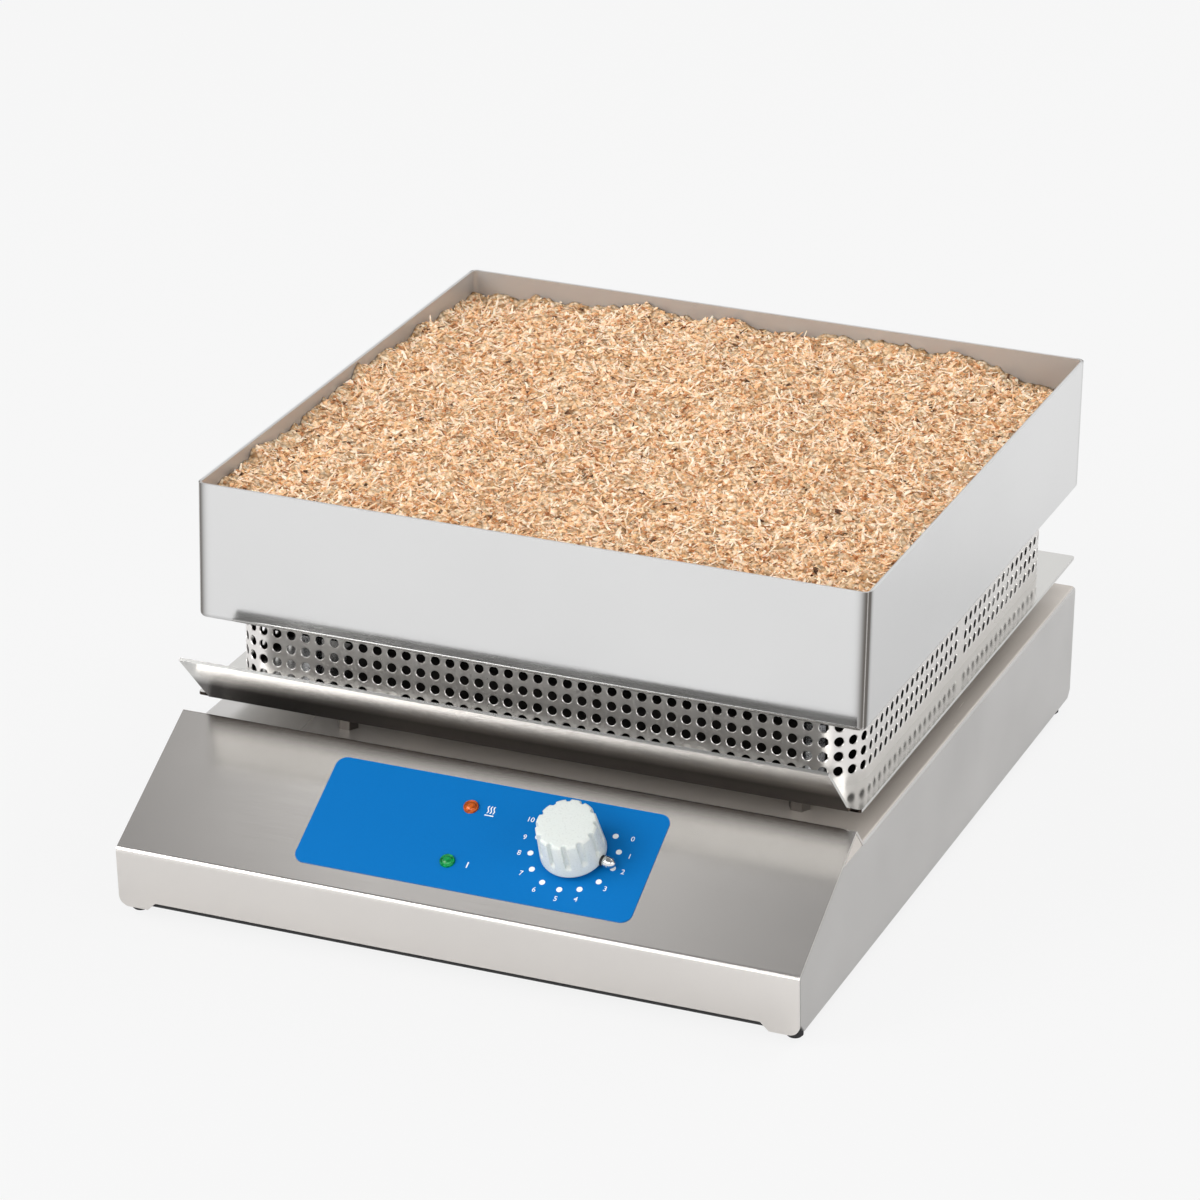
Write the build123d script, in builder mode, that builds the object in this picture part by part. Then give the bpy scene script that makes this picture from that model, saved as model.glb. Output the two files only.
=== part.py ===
from build123d import *
from math import atan2, cos, degrees, hypot, radians, sin
import os

os.makedirs("parts", exist_ok=True)

# Sand bath: a folded steel casing with a sloped control panel carries, on four spacers,
# a polished heat shield, a perforated guard, a heating plate and a loose sand tray.
# Millimetres, +Z up, +X to the right seen from the panel, floor at Z 0.
# The origin lies on the floor under the middle of the outline.

# Sand tray, and what is poured into it
tray_width = 320.0
tray_depth = 320.0
tray_height = 65.5
tray_wall = 1.5
tray_corner_radius = 4.0
tray_floor_radius = 2.5
fill_below_rim = 9.6
fill_gap = 0.3
fill_crown = 3.4
fill_swell = 1.6
fill_cells = 10
heap_edge = 60.0
swell_length = 31.0

# Casing
case_side_margin = 2.0
case_sheet = 1.5
panel_sheet = 1.2
panel_seam = 0.3
foot_height = 4.8
apron_height = 29.2
apron_corner = 5.0
apron_notch = 4.0
apron_notch_inset = 10.0
apron_lean = 3.0
slope_run = 71.0
slope_rise = 39.4
step_run = 10.1
step_drop = 10.4
tray_to_apron = 82.6
case_rear_inset = 2.7
deck_bend_radius = 2.0
panel_bend_radius = 3.0
ridge_bend_radius = 1.2
rear_chamfer = 3.5
rear_flange = 12.0
fit_gap = 0.3
hole_gap = 0.1

# Heat shield with its front lip
shield_gap = 13.3
shield_sheet = 1.5
shield_corner_radius = 1.5
lip_out = 30.0
lip_up = 29.6
lip_inset = 5.5
lip_corner_radius = 2.0

# Guard
guard_height = 33.5
guard_sheet = 0.8
guard_inset_x = 9.0
guard_inset_front = 15.0
guard_inset_rear = 15.0
guard_radius = 22.0
guard_to_tray = 3.2
guard_pitch = 12.2
guard_row_pitch = 10.6
guard_rows = 3
guard_hole_radius = 3.3
clip_width = 14.0
clip_leg = 11.0
clip_sheet = 1.2
clip_x = 75.0

# Heating plate and what is under it
plate_thickness = 10.0
plate_to_guard = 5.5
plate_corner_radius = 16.0
plate_post_radius = 5.0
plate_post_inset = 22.0
spigot_radius = 2.5
spigot_length = 5.0
tube_radius = 3.25
tube_bend_gap = 0.02
tube_runs = 6
tube_inset_x = 44.7
tube_inset_y = 23.7
tube_gap = 0.2
lead_bend_radius = 10.0
lead_gap = 2.0
lead_below_deck = 12.0
sleeve_wall = 2.0
sleeve_overhang = 3.0
insulation_thickness = 8.0
insulation_inset = 34.0
clamp_width = 16.0
clamp_thickness = 2.0
clamp_spacing = 70.0
clamp_screw_radius = 2.0
clamp_screw_depth = 5.0
clamp_head_radius = 3.5
clamp_head_height = 2.0
clamp_overhang = 14.0
clamp_end = 6.0
bulb_length = 62.0

# Spacers between the casing and the shield
spacer_radius = 5.0
spacer_right_x = 124.0
spacer_left_x = 95.0
spacer_from_edge = 22.0
bolt_radius = 2.0
bolt_clearance = 0.3
bolt_head_radius = 3.8
bolt_head_height = 2.2
nut_height = 3.2
nut_radius = 4.0

# Control panel
overlay_width = 160.0
overlay_height = 59.5
overlay_from_ridge = 10.3
overlay_film = 0.5
overlay_corner_radius = 5.0
dial_x = 43.9
dial_from_ridge = 39.4
knob_base_radius = 15.0
knob_top_radius = 13.6
knob_height = 19.5
knob_gap = 2.5
knob_rim = 1.2
knob_flutes = 12
flute_radius = 1.2
flute_depth = 0.8
flute_from_top = 2.6
flute_from_foot = 3.4
knob_set_angle = 100.8
pointer_radius = 1.7
pointer_lift = 0.6
pointer_root = 12.3
pointer_reach = 18.2
knob_bore_gap = 0.02
spindle_radius = 3.0
spindle_running_gap = 0.05
spindle_in_knob = 14.0
bush_radius = 5.0
bush_length = 0.5
knob_recess_radius = 11.5
knob_recess = 4.5
spindle_depth = 16.0
regulator_width = 34.0
regulator_height = 30.0
regulator_depth = 26.0
regulator_nut_radius = 8.0
regulator_nut_height = 2.5
lamp_x = -10.5
heat_lamp_from_ridge = 25.0
power_lamp_from_ridge = 55.5
lens_radius = 3.4
lens_rise = 2.2
lamp_body_radius = 5.0
lamp_body_length = 20.0

# Underside and back
base_sheet = 1.2
base_recess = 1.3
base_flange = 10.0
base_vent_length = 60.0
base_vent_width = 5.0
base_vents = 8
foot_radius = 3.8
foot_inset_x = 5.5
foot_inset_y = 13.0
stud_radius = 1.5
stud_barb = 0.6
gland_from_side = 52.0
gland_height = 30.0
gland_radius = 8.0
gland_length = 2.0
gland_thread_radius = 6.0
gland_nut_height = 4.0
terminal_length = 60.0
terminal_depth = 18.0
terminal_height = 16.0
terminal_x = 40.0
terminal_from_back = 60.0

# Heights and places that follow from the sizes above
case_width = tray_width + 2 * case_side_margin
total_depth = tray_depth + tray_to_apron
apron_y = -total_depth / 2
tray_back_y = total_depth / 2
tray_front_y = tray_back_y - tray_depth
tray_y = (tray_front_y + tray_back_y) / 2
case_back_y = tray_back_y - case_rear_inset
case_bottom = foot_height
apron_top = case_bottom + apron_height
ridge_y = apron_y + slope_run
ridge_z = apron_top + slope_rise
step_y = ridge_y + step_run
deck_top = ridge_z - step_drop
deck_under = deck_top - case_sheet
shield_bottom = deck_top + shield_gap
shield_top = shield_bottom + shield_sheet
guard_width = tray_width - 2 * guard_inset_x
guard_front_y = tray_front_y + guard_inset_front
guard_back_y = tray_back_y - guard_inset_rear
guard_depth = guard_back_y - guard_front_y
guard_y = (guard_front_y + guard_back_y) / 2
guard_top = shield_top + guard_height
tray_bottom = guard_top + guard_to_tray
tray_top = tray_bottom + tray_height
plate_width = guard_width - 2 * (guard_sheet + plate_to_guard)
plate_depth = guard_depth - 2 * (guard_sheet + plate_to_guard)
plate_bottom = tray_bottom - plate_thickness
slope_angle = degrees(atan2(slope_rise, slope_run))
slope_normal = (0, -sin(radians(slope_angle)), cos(radians(slope_angle)))
spacer_front_y = tray_front_y + spacer_from_edge
spacer_back_y = tray_back_y - spacer_from_edge
spacer_points = [
    (spacer_right_x, spacer_front_y),
    (spacer_right_x, spacer_back_y),
    (-spacer_left_x, spacer_front_y),
    (-spacer_left_x, spacer_back_y),
]
post_points = [
    (x * (plate_width / 2 - plate_post_inset), guard_y + y * (plate_depth / 2 - plate_post_inset))
    for x in (-1, 1)
    for y in (-1, 1)
]
foot_points = [
    (x * (case_width / 2 - foot_inset_x), y)
    for x in (-1, 1)
    for y in (apron_y + foot_inset_y, case_back_y - foot_inset_y)
]
tube_z = plate_bottom - tube_gap - tube_radius
tube_first_x = tube_inset_x - plate_width / 2
tube_pitch = -2 * tube_first_x / (tube_runs - 1)
tube_bend_radius = tube_pitch / 2
insulation_width = plate_width - 2 * insulation_inset
insulation_depth = plate_depth - 2 * insulation_inset
sleeve_radius = tube_radius + hole_gap + sleeve_wall
lead_y = guard_y + insulation_depth / 2 + sleeve_radius + lead_gap
lead_points = [(-tube_first_x, lead_y), (tube_first_x, lead_y)]
clamp_top = tube_z - tube_radius - tube_gap
clamp_bottom = clamp_top - clamp_thickness
clamp_screw_x = -tube_first_x + clamp_overhang
clamp_screw_points = [(x * clamp_screw_x, guard_y + y * clamp_spacing) for x in (-1, 1) for y in (-1, 0, 1)]
gland_x = case_width / 2 - gland_from_side
base_bottom = case_bottom + base_recess
base_top = base_bottom + base_sheet
knob_base = overlay_film + knob_gap
knob_top = knob_base + knob_height
bush_top = overlay_film + regulator_nut_height + bush_length


def slope_plane(across, down, up=0.0):
    """Plane square to the sloped panel, at a place measured from the ridge."""
    away = radians(slope_angle)
    point = (across, ridge_y - down * cos(away) - up * sin(away), ridge_z - down * sin(away) + up * cos(away))
    return Plane(origin=point, x_dir=(1, 0, 0), z_dir=slope_normal)


def sheet_profile(points, thickness):
    """Closed outline of a bent sheet: its outer line, and the same line moved to the right by its thickness."""
    moved = []
    for k, (y, z) in enumerate(points):
        sides = []
        for a, b in zip(points[:-1], points[1:]):
            run = hypot(b[0] - a[0], b[1] - a[1])
            sides.append(((b[1] - a[1]) / run, -(b[0] - a[0]) / run))
        first = sides[max(k - 1, 0)]
        last = sides[min(k, len(sides) - 1)]
        share = thickness / (1 + first[0] * last[0] + first[1] * last[1])
        moved.append((y + share * (first[0] + last[0]), z + share * (first[1] + last[1])))
    return list(points) + moved[::-1]


panel_points = [
    (apron_y + apron_lean, case_bottom),
    (apron_y, apron_top),
    (ridge_y, ridge_z),
    (step_y, deck_top),
]

# Casing: deck and both sides folded from one sheet, the sides cut to the panel's slope
side_front_y = apron_y + apron_lean + panel_sheet + panel_seam
with BuildPart() as case_body:
    with BuildSketch(Plane.YZ.offset(-case_width / 2)):
        with BuildLine():
            Polyline(
                *panel_points,
                (case_back_y, deck_top),
                (case_back_y, case_bottom + rear_chamfer),
                (case_back_y - rear_chamfer, case_bottom),
                close=True,
            )
        make_face()
        with BuildLine():
            Polyline(*sheet_profile(panel_points, panel_sheet + panel_seam), close=True)
        make_face(mode=Mode.SUBTRACT)
        with BuildLine():
            Polyline(
                (apron_y, case_bottom),
                (side_front_y + apron_corner, case_bottom),
                (side_front_y, case_bottom + apron_corner),
                (apron_y, case_bottom + apron_corner),
                close=True,
            )
        make_face(mode=Mode.SUBTRACT)
    extrude(amount=case_width)
    with BuildSketch(Plane.XZ.offset(-case_back_y)):
        with Locations((0, deck_top)):
            Rectangle(case_width, 2 * deck_bend_radius, align=(Align.CENTER, Align.MAX))
            RectangleRounded(
                case_width, total_depth, deck_bend_radius, align=(Align.CENTER, Align.MAX), mode=Mode.SUBTRACT
            )
    extrude(amount=case_back_y - step_y, mode=Mode.SUBTRACT)
    with BuildSketch(Plane.XY.offset(deck_under)):
        Rectangle(case_width - 2 * case_sheet, 2 * total_depth)
    extrude(amount=-2 * ridge_z, mode=Mode.SUBTRACT)
    with BuildSketch(Plane.XY.offset(deck_under)):
        with Locations((0, step_y)):
            Rectangle(case_width - 2 * case_sheet, total_depth, align=(Align.CENTER, Align.MAX))
    extrude(amount=2 * step_drop, mode=Mode.SUBTRACT)
    with BuildSketch(Plane.XY.offset(deck_top)):
        with Locations(*spacer_points):
            Circle(bolt_radius + bolt_clearance)
        with Locations(*lead_points):
            Circle(sleeve_radius + hole_gap)
    extrude(amount=-2 * case_sheet, mode=Mode.SUBTRACT)
case_body.part.label = "case_body"

# Front panel: apron, sloped face, ridge and the short step down to the deck, one bent sheet
with BuildPart() as front_panel:
    with BuildSketch(Plane.YZ.offset(-case_width / 2)):
        with BuildLine():
            Polyline(*sheet_profile(panel_points, panel_sheet), close=True)
        make_face()
    extrude(amount=case_width)
    bends = front_panel.edges().filter_by(Axis.X)
    fillet(bends.sort_by_distance((0, apron_y, apron_top))[0], panel_bend_radius)
    fillet(front_panel.edges().filter_by(Axis.X).sort_by(Axis.Z)[-1], ridge_bend_radius)
    with BuildSketch(Plane.XZ.offset(-apron_y - 2 * apron_lean)):
        with Locations((0, case_bottom)):
            Rectangle(case_width, 2 * apron_corner)
            RectangleRounded(
                case_width, 2 * ridge_z, apron_corner, align=(Align.CENTER, Align.MIN), mode=Mode.SUBTRACT
            )
            Trapezoid(case_width - 2 * apron_notch_inset, 2 * apron_notch, 45)
    extrude(amount=3 * apron_lean, mode=Mode.SUBTRACT)
    with BuildSketch(slope_plane(dial_x, dial_from_ridge)):
        Circle(bush_radius + hole_gap)
    extrude(amount=-2 * panel_sheet, mode=Mode.SUBTRACT)
    for down in (heat_lamp_from_ridge, power_lamp_from_ridge):
        with BuildSketch(slope_plane(lamp_x, down)):
            Circle(lens_radius + hole_gap)
        extrude(amount=-2 * panel_sheet, mode=Mode.SUBTRACT)
front_panel.part.label = "front_panel"

# Back wall: a flat sheet between the sides, folded forward under the deck
back_points = [
    (case_back_y - rear_flange, deck_under),
    (case_back_y, deck_under),
    (case_back_y, case_bottom + rear_chamfer),
]
with BuildPart() as back_panel:
    with BuildSketch(Plane.YZ.offset(-case_width / 2 + case_sheet)):
        with BuildLine():
            Polyline(*sheet_profile(back_points, case_sheet), close=True)
        make_face()
    extrude(amount=case_width - 2 * case_sheet)
    with BuildSketch(Plane.XZ.offset(-case_back_y)):
        with Locations((gland_x, gland_height)):
            Circle(gland_thread_radius + hole_gap)
    extrude(amount=2 * case_sheet, mode=Mode.SUBTRACT)
back_panel.part.label = "back_panel"

# Base: a vented sheet with both long edges folded up inside the casing
base_front_y = side_front_y + fit_gap
base_back_y = case_back_y - case_sheet - fit_gap
base_half = case_width / 2 - case_sheet - fit_gap
base_points = [
    (-base_half, base_bottom + base_flange),
    (-base_half, base_bottom),
    (base_half, base_bottom),
    (base_half, base_bottom + base_flange),
]
with BuildPart() as base_plate:
    with BuildSketch(Plane.XZ.offset(-base_back_y)):
        with BuildLine():
            Polyline(*sheet_profile(base_points, -base_sheet), close=True)
        make_face()
    extrude(amount=base_back_y - base_front_y)
    with BuildSketch(Plane.XY.offset(base_bottom)):
        with Locations((0, (base_front_y + base_back_y) / 2)):
            with GridLocations(2 * base_vent_length, 2 * base_vent_width, 2, base_vents):
                Rectangle(base_vent_length, base_vent_width)
        with Locations(*foot_points):
            Circle(stud_radius + hole_gap)
    extrude(amount=2 * base_sheet, both=True, mode=Mode.SUBTRACT)
base_plate.part.label = "base_plate"

# Four rubber feet, each with a barbed stud pushed through the base
with BuildPart() as rubber_feet:
    with BuildSketch():
        with Locations(*foot_points):
            Circle(foot_radius)
    extrude(amount=base_bottom)
    chamfer(rubber_feet.edges().group_by(Axis.Z)[0], foot_radius / 5)
    with BuildSketch(Plane.XY.offset(base_bottom)):
        with Locations(*foot_points):
            Circle(stud_radius)
    extrude(amount=base_sheet)
    with BuildSketch(Plane.XY.offset(base_top)):
        with Locations(*foot_points):
            Circle(stud_radius + stud_barb)
    extrude(amount=stud_radius)
rubber_feet.part.label = "rubber_feet"

# Thin printed sheet on the slope, holed for the dial's bush and the two lamps
with BuildPart() as control_overlay:
    with BuildSketch(slope_plane(0, overlay_from_ridge + overlay_height / 2)):
        RectangleRounded(overlay_width, overlay_height, overlay_corner_radius)
    extrude(amount=overlay_film)
    with BuildSketch(slope_plane(dial_x, dial_from_ridge)):
        Circle(bush_radius + hole_gap)
    extrude(amount=2 * overlay_film, mode=Mode.SUBTRACT)
    for down in (heat_lamp_from_ridge, power_lamp_from_ridge):
        with BuildSketch(slope_plane(lamp_x, down)):
            Circle(lens_radius + hole_gap)
        extrude(amount=2 * overlay_film, mode=Mode.SUBTRACT)
control_overlay.part.label = "control_overlay"

# Energy regulator behind the slope: its body and threaded bush, bored for the spindle
with BuildPart() as regulator_body:
    with BuildSketch(slope_plane(dial_x, dial_from_ridge, -panel_sheet)):
        RectangleRounded(regulator_width, regulator_height, deck_bend_radius)
    extrude(amount=-regulator_depth)
    with BuildSketch(slope_plane(dial_x, dial_from_ridge, -panel_sheet)):
        Circle(bush_radius)
    extrude(amount=panel_sheet + bush_top)
    with BuildSketch(slope_plane(dial_x, dial_from_ridge, bush_top)):
        Circle(spindle_radius + spindle_running_gap)
    extrude(amount=-(bush_top + panel_sheet + spindle_depth + fit_gap), mode=Mode.SUBTRACT)
regulator_body.part.label = "regulator_body"

with BuildPart() as regulator_nut:
    with BuildSketch(slope_plane(dial_x, dial_from_ridge, overlay_film)):
        RegularPolygon(regulator_nut_radius, 6)
        Circle(bush_radius + hole_gap, mode=Mode.SUBTRACT)
    extrude(amount=regulator_nut_height)
regulator_nut.part.label = "regulator_nut"

with BuildPart() as regulator_spindle:
    with BuildSketch(slope_plane(dial_x, dial_from_ridge, -panel_sheet - spindle_depth)):
        Circle(spindle_radius)
    extrude(amount=panel_sheet + spindle_depth + knob_base + spindle_in_knob)
    spindle_ends = regulator_spindle.edges().filter_by(GeomType.CIRCLE)
    chamfer(spindle_ends.sort_by(Axis.Z)[-1], spindle_radius / 8)
regulator_spindle.part.label = "regulator_spindle"

# Bright pin set into the foot of the knob as its pointer
dial = slope_plane(dial_x, dial_from_ridge)
pointer_way = dial.x_dir * sin(radians(knob_set_angle)) + dial.y_dir * cos(radians(knob_set_angle))
pointer_foot = dial.offset(knob_base + pointer_lift + pointer_radius).origin + pointer_way * pointer_root
pointer_plane = Plane(origin=pointer_foot, z_dir=pointer_way)
with BuildPart() as knob_pointer:
    with BuildSketch(pointer_plane):
        Circle(pointer_radius)
    extrude(amount=pointer_reach - pointer_root)
    pointer_ends = knob_pointer.edges().filter_by(GeomType.CIRCLE)
    chamfer(pointer_ends.sort_by(Axis.X)[-1], pointer_radius / 3)
knob_pointer.part.label = "knob_pointer"

# Dial knob: a tapered cap with a rounded rim, hollow over the nut, with finger grooves round its side
dial_section = Plane(origin=dial.origin, x_dir=dial.x_dir, z_dir=-dial.y_dir)
flute_tilt = degrees(atan2(knob_base_radius - knob_top_radius, knob_height))
flute_length = knob_height - flute_from_top - flute_from_foot
with BuildPart() as flute_cutter:
    with BuildSketch(Plane.XY.offset(-flute_from_top)):
        RegularPolygon(flute_radius, 6)
    extrude(amount=-flute_length)
flute = flute_cutter.part.rotate(Axis.Y, -flute_tilt)
with BuildPart() as knob:
    with BuildSketch(dial_section):
        with BuildLine():
            Polyline(
                (0, knob_top),
                (knob_top_radius, knob_top),
                (knob_base_radius, knob_base),
                (knob_recess_radius, knob_base),
                (knob_recess_radius, knob_base + knob_recess),
                (spindle_radius + knob_bore_gap, knob_base + knob_recess),
                (spindle_radius + knob_bore_gap, knob_base + spindle_in_knob + knob_bore_gap),
                (0, knob_base + spindle_in_knob + knob_bore_gap),
                close=True,
            )
        make_face()
    revolve(axis=Axis(dial.origin, dial.z_dir))
    knob_rims = knob.edges().filter_by(GeomType.CIRCLE)
    fillet(knob_rims.sort_by(Axis.Z)[-1], knob_rim)
    knob_turned = Plane(origin=dial.offset(knob_top).origin, x_dir=dial.x_dir, z_dir=dial.z_dir)
    with Locations(knob_turned.location):
        with PolarLocations(knob_top_radius + flute_radius - flute_depth, knob_flutes):
            add(flute, mode=Mode.SUBTRACT)
    with BuildSketch(pointer_plane):
        Circle(pointer_radius + knob_bore_gap)
    extrude(amount=pointer_reach - pointer_root, mode=Mode.SUBTRACT)
knob.part.label = "knob"

# Signal lamps: a domed lens in front, a round holder behind the panel
for name, down in (("heat_lamp_lens", heat_lamp_from_ridge), ("power_lamp_lens", power_lamp_from_ridge)):
    with BuildPart() as lens:
        with BuildSketch(slope_plane(lamp_x, down, -panel_sheet)):
            Circle(lens_radius)
        extrude(amount=panel_sheet + overlay_film + lens_rise)
        lens_rims = lens.edges().filter_by(GeomType.CIRCLE)
        chamfer(lens_rims.sort_by(Axis.Z)[-1], lens_rise * 0.6)
    lens.part.label = name
    export_step(lens.part, f"parts/{name}.step")

with BuildPart() as lamp_holders:
    for down in (heat_lamp_from_ridge, power_lamp_from_ridge):
        with BuildSketch(slope_plane(lamp_x, down, -panel_sheet)):
            Circle(lamp_body_radius)
        extrude(amount=-lamp_body_length)
lamp_holders.part.label = "lamp_holders"

# Hexagonal spacers that carry the heat shield above the deck, with their through bolts and nuts
with BuildPart() as spacers:
    with BuildSketch(Plane.XY.offset(deck_top)):
        with Locations(*spacer_points):
            RegularPolygon(spacer_radius, 6)
            Circle(bolt_radius + bolt_clearance, mode=Mode.SUBTRACT)
    extrude(amount=shield_gap)
spacers.part.label = "spacers"

with BuildPart() as spacer_bolts:
    with BuildSketch(Plane.XY.offset(shield_top)):
        with Locations(*spacer_points):
            Circle(bolt_head_radius)
    extrude(amount=bolt_head_height)
    chamfer(spacer_bolts.edges().group_by(Axis.Z)[-1], bolt_head_height / 3)
    with BuildSketch(Plane.XY.offset(shield_top)):
        with Locations(*spacer_points):
            Circle(bolt_radius)
    extrude(amount=-(shield_top - deck_under + 1.5 * nut_height))
spacer_bolts.part.label = "spacer_bolts"

with BuildPart() as spacer_nuts:
    with BuildSketch(Plane.XY.offset(deck_under)):
        with Locations(*spacer_points):
            RegularPolygon(nut_radius, 6)
            Circle(bolt_radius + hole_gap, mode=Mode.SUBTRACT)
    extrude(amount=-nut_height)
spacer_nuts.part.label = "spacer_nuts"

# Heat shield: a polished sheet as large as the tray, with a lip folded up and out at the front
lip_points = [
    (tray_front_y + lip_out / 2, shield_top),
    (tray_front_y, shield_top),
    (tray_front_y - lip_out, shield_top + lip_up),
]
with BuildPart() as heat_shield:
    with BuildSketch(Plane.XY.offset(shield_bottom)):
        with Locations((0, tray_y)):
            RectangleRounded(tray_width, tray_depth, shield_corner_radius)
    extrude(amount=shield_sheet)
    with BuildSketch(Plane.YZ.offset(-tray_width / 2 + lip_inset)):
        with BuildLine():
            Polyline(*sheet_profile(lip_points, -shield_sheet), close=True)
        make_face()
    extrude(amount=tray_width - 2 * lip_inset)
    with BuildSketch(Plane.XY.offset(shield_bottom)):
        with Locations(*spacer_points):
            Circle(bolt_radius + bolt_clearance)
        with Locations(*lead_points):
            Circle(sleeve_radius + hole_gap)
    extrude(amount=2 * shield_sheet, mode=Mode.SUBTRACT)
heat_shield.part.label = "heat_shield"

# Guard round the heater
with BuildPart() as guard_band:
    with BuildSketch(Plane.XY.offset(shield_top)):
        with Locations((0, guard_y)):
            RectangleRounded(guard_width, guard_depth, guard_radius)
            RectangleRounded(
                guard_width - 2 * guard_sheet,
                guard_depth - 2 * guard_sheet,
                guard_radius - guard_sheet,
                mode=Mode.SUBTRACT,
            )
    extrude(amount=guard_height)
    for side_plane, middle, flat in (
        (Plane.XZ.offset(-guard_back_y - guard_sheet), 0, guard_width - 2 * guard_radius),
        (Plane.YZ.offset(-guard_width / 2 - guard_sheet), guard_y, guard_depth - 2 * guard_radius),
    ):
        columns = int(flat // guard_pitch) + 1
        with BuildSketch(side_plane):
            with Locations((middle, shield_top + guard_height / 2)):
                with GridLocations(flat / columns, guard_row_pitch, columns, guard_rows):
                    RegularPolygon(guard_hole_radius, 6)
        extrude(amount=2 * guard_width, mode=Mode.SUBTRACT)
    for corner_x in (-1, 1):
        for corner_y in (-1, 1):
            for turn in (22.5, 67.5):
                away = Vector(corner_x * cos(radians(turn)), corner_y * sin(radians(turn)), 0)
                centre = Vector(
                    corner_x * (guard_width / 2 - guard_radius),
                    guard_y + corner_y * (guard_depth / 2 - guard_radius),
                    shield_top + guard_height / 2,
                )
                with BuildSketch(Plane(origin=centre + away * (guard_radius / 2), x_dir=(0, 0, 1), z_dir=away)):
                    with GridLocations(guard_row_pitch, 1, guard_rows, 1):
                        RegularPolygon(guard_hole_radius, 6)
                extrude(amount=guard_radius, mode=Mode.SUBTRACT)
guard_band.part.label = "guard_band"

# Angle clips that hold the guard to the shield
with BuildPart() as guard_clips:
    with BuildSketch(Plane.XY.offset(shield_top)) as clip_feet:
        for x in (-clip_x, clip_x):
            with Locations((x, guard_front_y + guard_sheet)):
                Rectangle(clip_width, clip_leg, align=(Align.CENTER, Align.MIN))
            with Locations((x, guard_back_y - guard_sheet)):
                Rectangle(clip_width, clip_leg, align=(Align.CENTER, Align.MAX))
    extrude(amount=clip_sheet)
    with BuildSketch(Plane.XY.offset(shield_top)):
        for x in (-clip_x, clip_x):
            with Locations((x, guard_front_y + guard_sheet)):
                Rectangle(clip_width, clip_sheet, align=(Align.CENTER, Align.MIN))
            with Locations((x, guard_back_y - guard_sheet)):
                Rectangle(clip_width, clip_sheet, align=(Align.CENTER, Align.MAX))
    extrude(amount=clip_leg)
guard_clips.part.label = "guard_clips"

# Insulation board under the heater
with BuildPart() as insulation_board:
    with BuildSketch(Plane.XY.offset(shield_top)):
        with Locations((0, guard_y)):
            Rectangle(insulation_width, insulation_depth)
    extrude(amount=insulation_thickness)
insulation_board.part.label = "insulation_board"

# Tubular heating element: one long tube in even hairpins, its two ends turned down into the casing
front_turn = guard_y - plate_depth / 2 + tube_inset_y
rear_turn = guard_y + plate_depth / 2 - tube_inset_y
element_points = [(-tube_first_x, lead_y, deck_under - lead_below_deck), (-tube_first_x, lead_y, tube_z)]
for k in range(tube_runs):
    x = -tube_first_x - k * tube_pitch
    start = rear_turn if k % 2 == 0 else front_turn
    end = front_turn if k % 2 == 0 else rear_turn
    if k > 0:
        element_points += [(x, start, tube_z)]
    element_points += [(x, end if k < tube_runs - 1 else lead_y, tube_z)]
element_points += [(tube_first_x, lead_y, deck_under - lead_below_deck)]
turn_radii = [tube_bend_radius - tube_bend_gap] * (2 * tube_runs - 2)
with BuildPart() as heating_element:
    with BuildLine() as element_path:
        FilletPolyline(*element_points, radius=[lead_bend_radius, *turn_radii, lead_bend_radius])
    with BuildSketch(Plane(origin=element_path.line @ 0, z_dir=element_path.line % 0)):
        RegularPolygon(tube_radius, 6)
    sweep()
heating_element.part.label = "heating_element"

# Ceramic sleeves where the element passes the shield and the deck
with BuildPart() as lead_sleeves:
    with BuildSketch(Plane.XY.offset(deck_under - sleeve_overhang)):
        with Locations(*lead_points):
            Circle(sleeve_radius)
            Circle(tube_radius + hole_gap, mode=Mode.SUBTRACT)
    extrude(amount=shield_top - deck_under + 2 * sleeve_overhang)
lead_sleeves.part.label = "lead_sleeves"

# Bars that press the element and the limiter's bulb against the heating plate
with BuildPart() as element_clamps:
    with BuildSketch(Plane.XY.offset(clamp_bottom)):
        with Locations((0, guard_y)):
            with GridLocations(1, clamp_spacing, 1, 3):
                Rectangle(2 * (clamp_screw_x + clamp_end), clamp_width)
        with Locations(*clamp_screw_points):
            Circle(clamp_screw_radius + hole_gap, mode=Mode.SUBTRACT)
    extrude(amount=clamp_thickness)
element_clamps.part.label = "element_clamps"

with BuildPart() as clamp_screws:
    with BuildSketch(Plane.XY.offset(clamp_bottom)):
        with Locations(*clamp_screw_points):
            RegularPolygon(clamp_head_radius, 6)
    extrude(amount=-clamp_head_height)
    with BuildSketch(Plane.XY.offset(clamp_bottom)):
        with Locations(*clamp_screw_points):
            Circle(clamp_screw_radius)
    extrude(amount=plate_bottom - clamp_bottom + clamp_screw_depth)
clamp_screws.part.label = "clamp_screws"

# Bulb of the over-temperature limiter, held between a clamp bar and the plate
with BuildPart() as limiter_bulb:
    with BuildSketch(Plane.XZ.offset(-(guard_y + clamp_spacing / 2))):
        with Locations((0, tube_z)):
            Circle(tube_radius)
    extrude(amount=bulb_length)
limiter_bulb.part.label = "limiter_bulb"

# Heating plate, drilled from below for its posts and clamp screws
with BuildPart() as heating_plate:
    with BuildSketch(Plane.XY.offset(plate_bottom)):
        with Locations((0, guard_y)):
            RectangleRounded(plate_width, plate_depth, plate_corner_radius)
    extrude(amount=plate_thickness)
    with BuildSketch(Plane.XY.offset(plate_bottom)):
        with Locations(*post_points):
            Circle(spigot_radius + hole_gap)
    extrude(amount=spigot_length + fit_gap, mode=Mode.SUBTRACT)
    with BuildSketch(Plane.XY.offset(plate_bottom)):
        with Locations(*clamp_screw_points):
            Circle(clamp_screw_radius + hole_gap)
    extrude(amount=clamp_screw_depth + fit_gap, mode=Mode.SUBTRACT)
heating_plate.part.label = "heating_plate"

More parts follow.
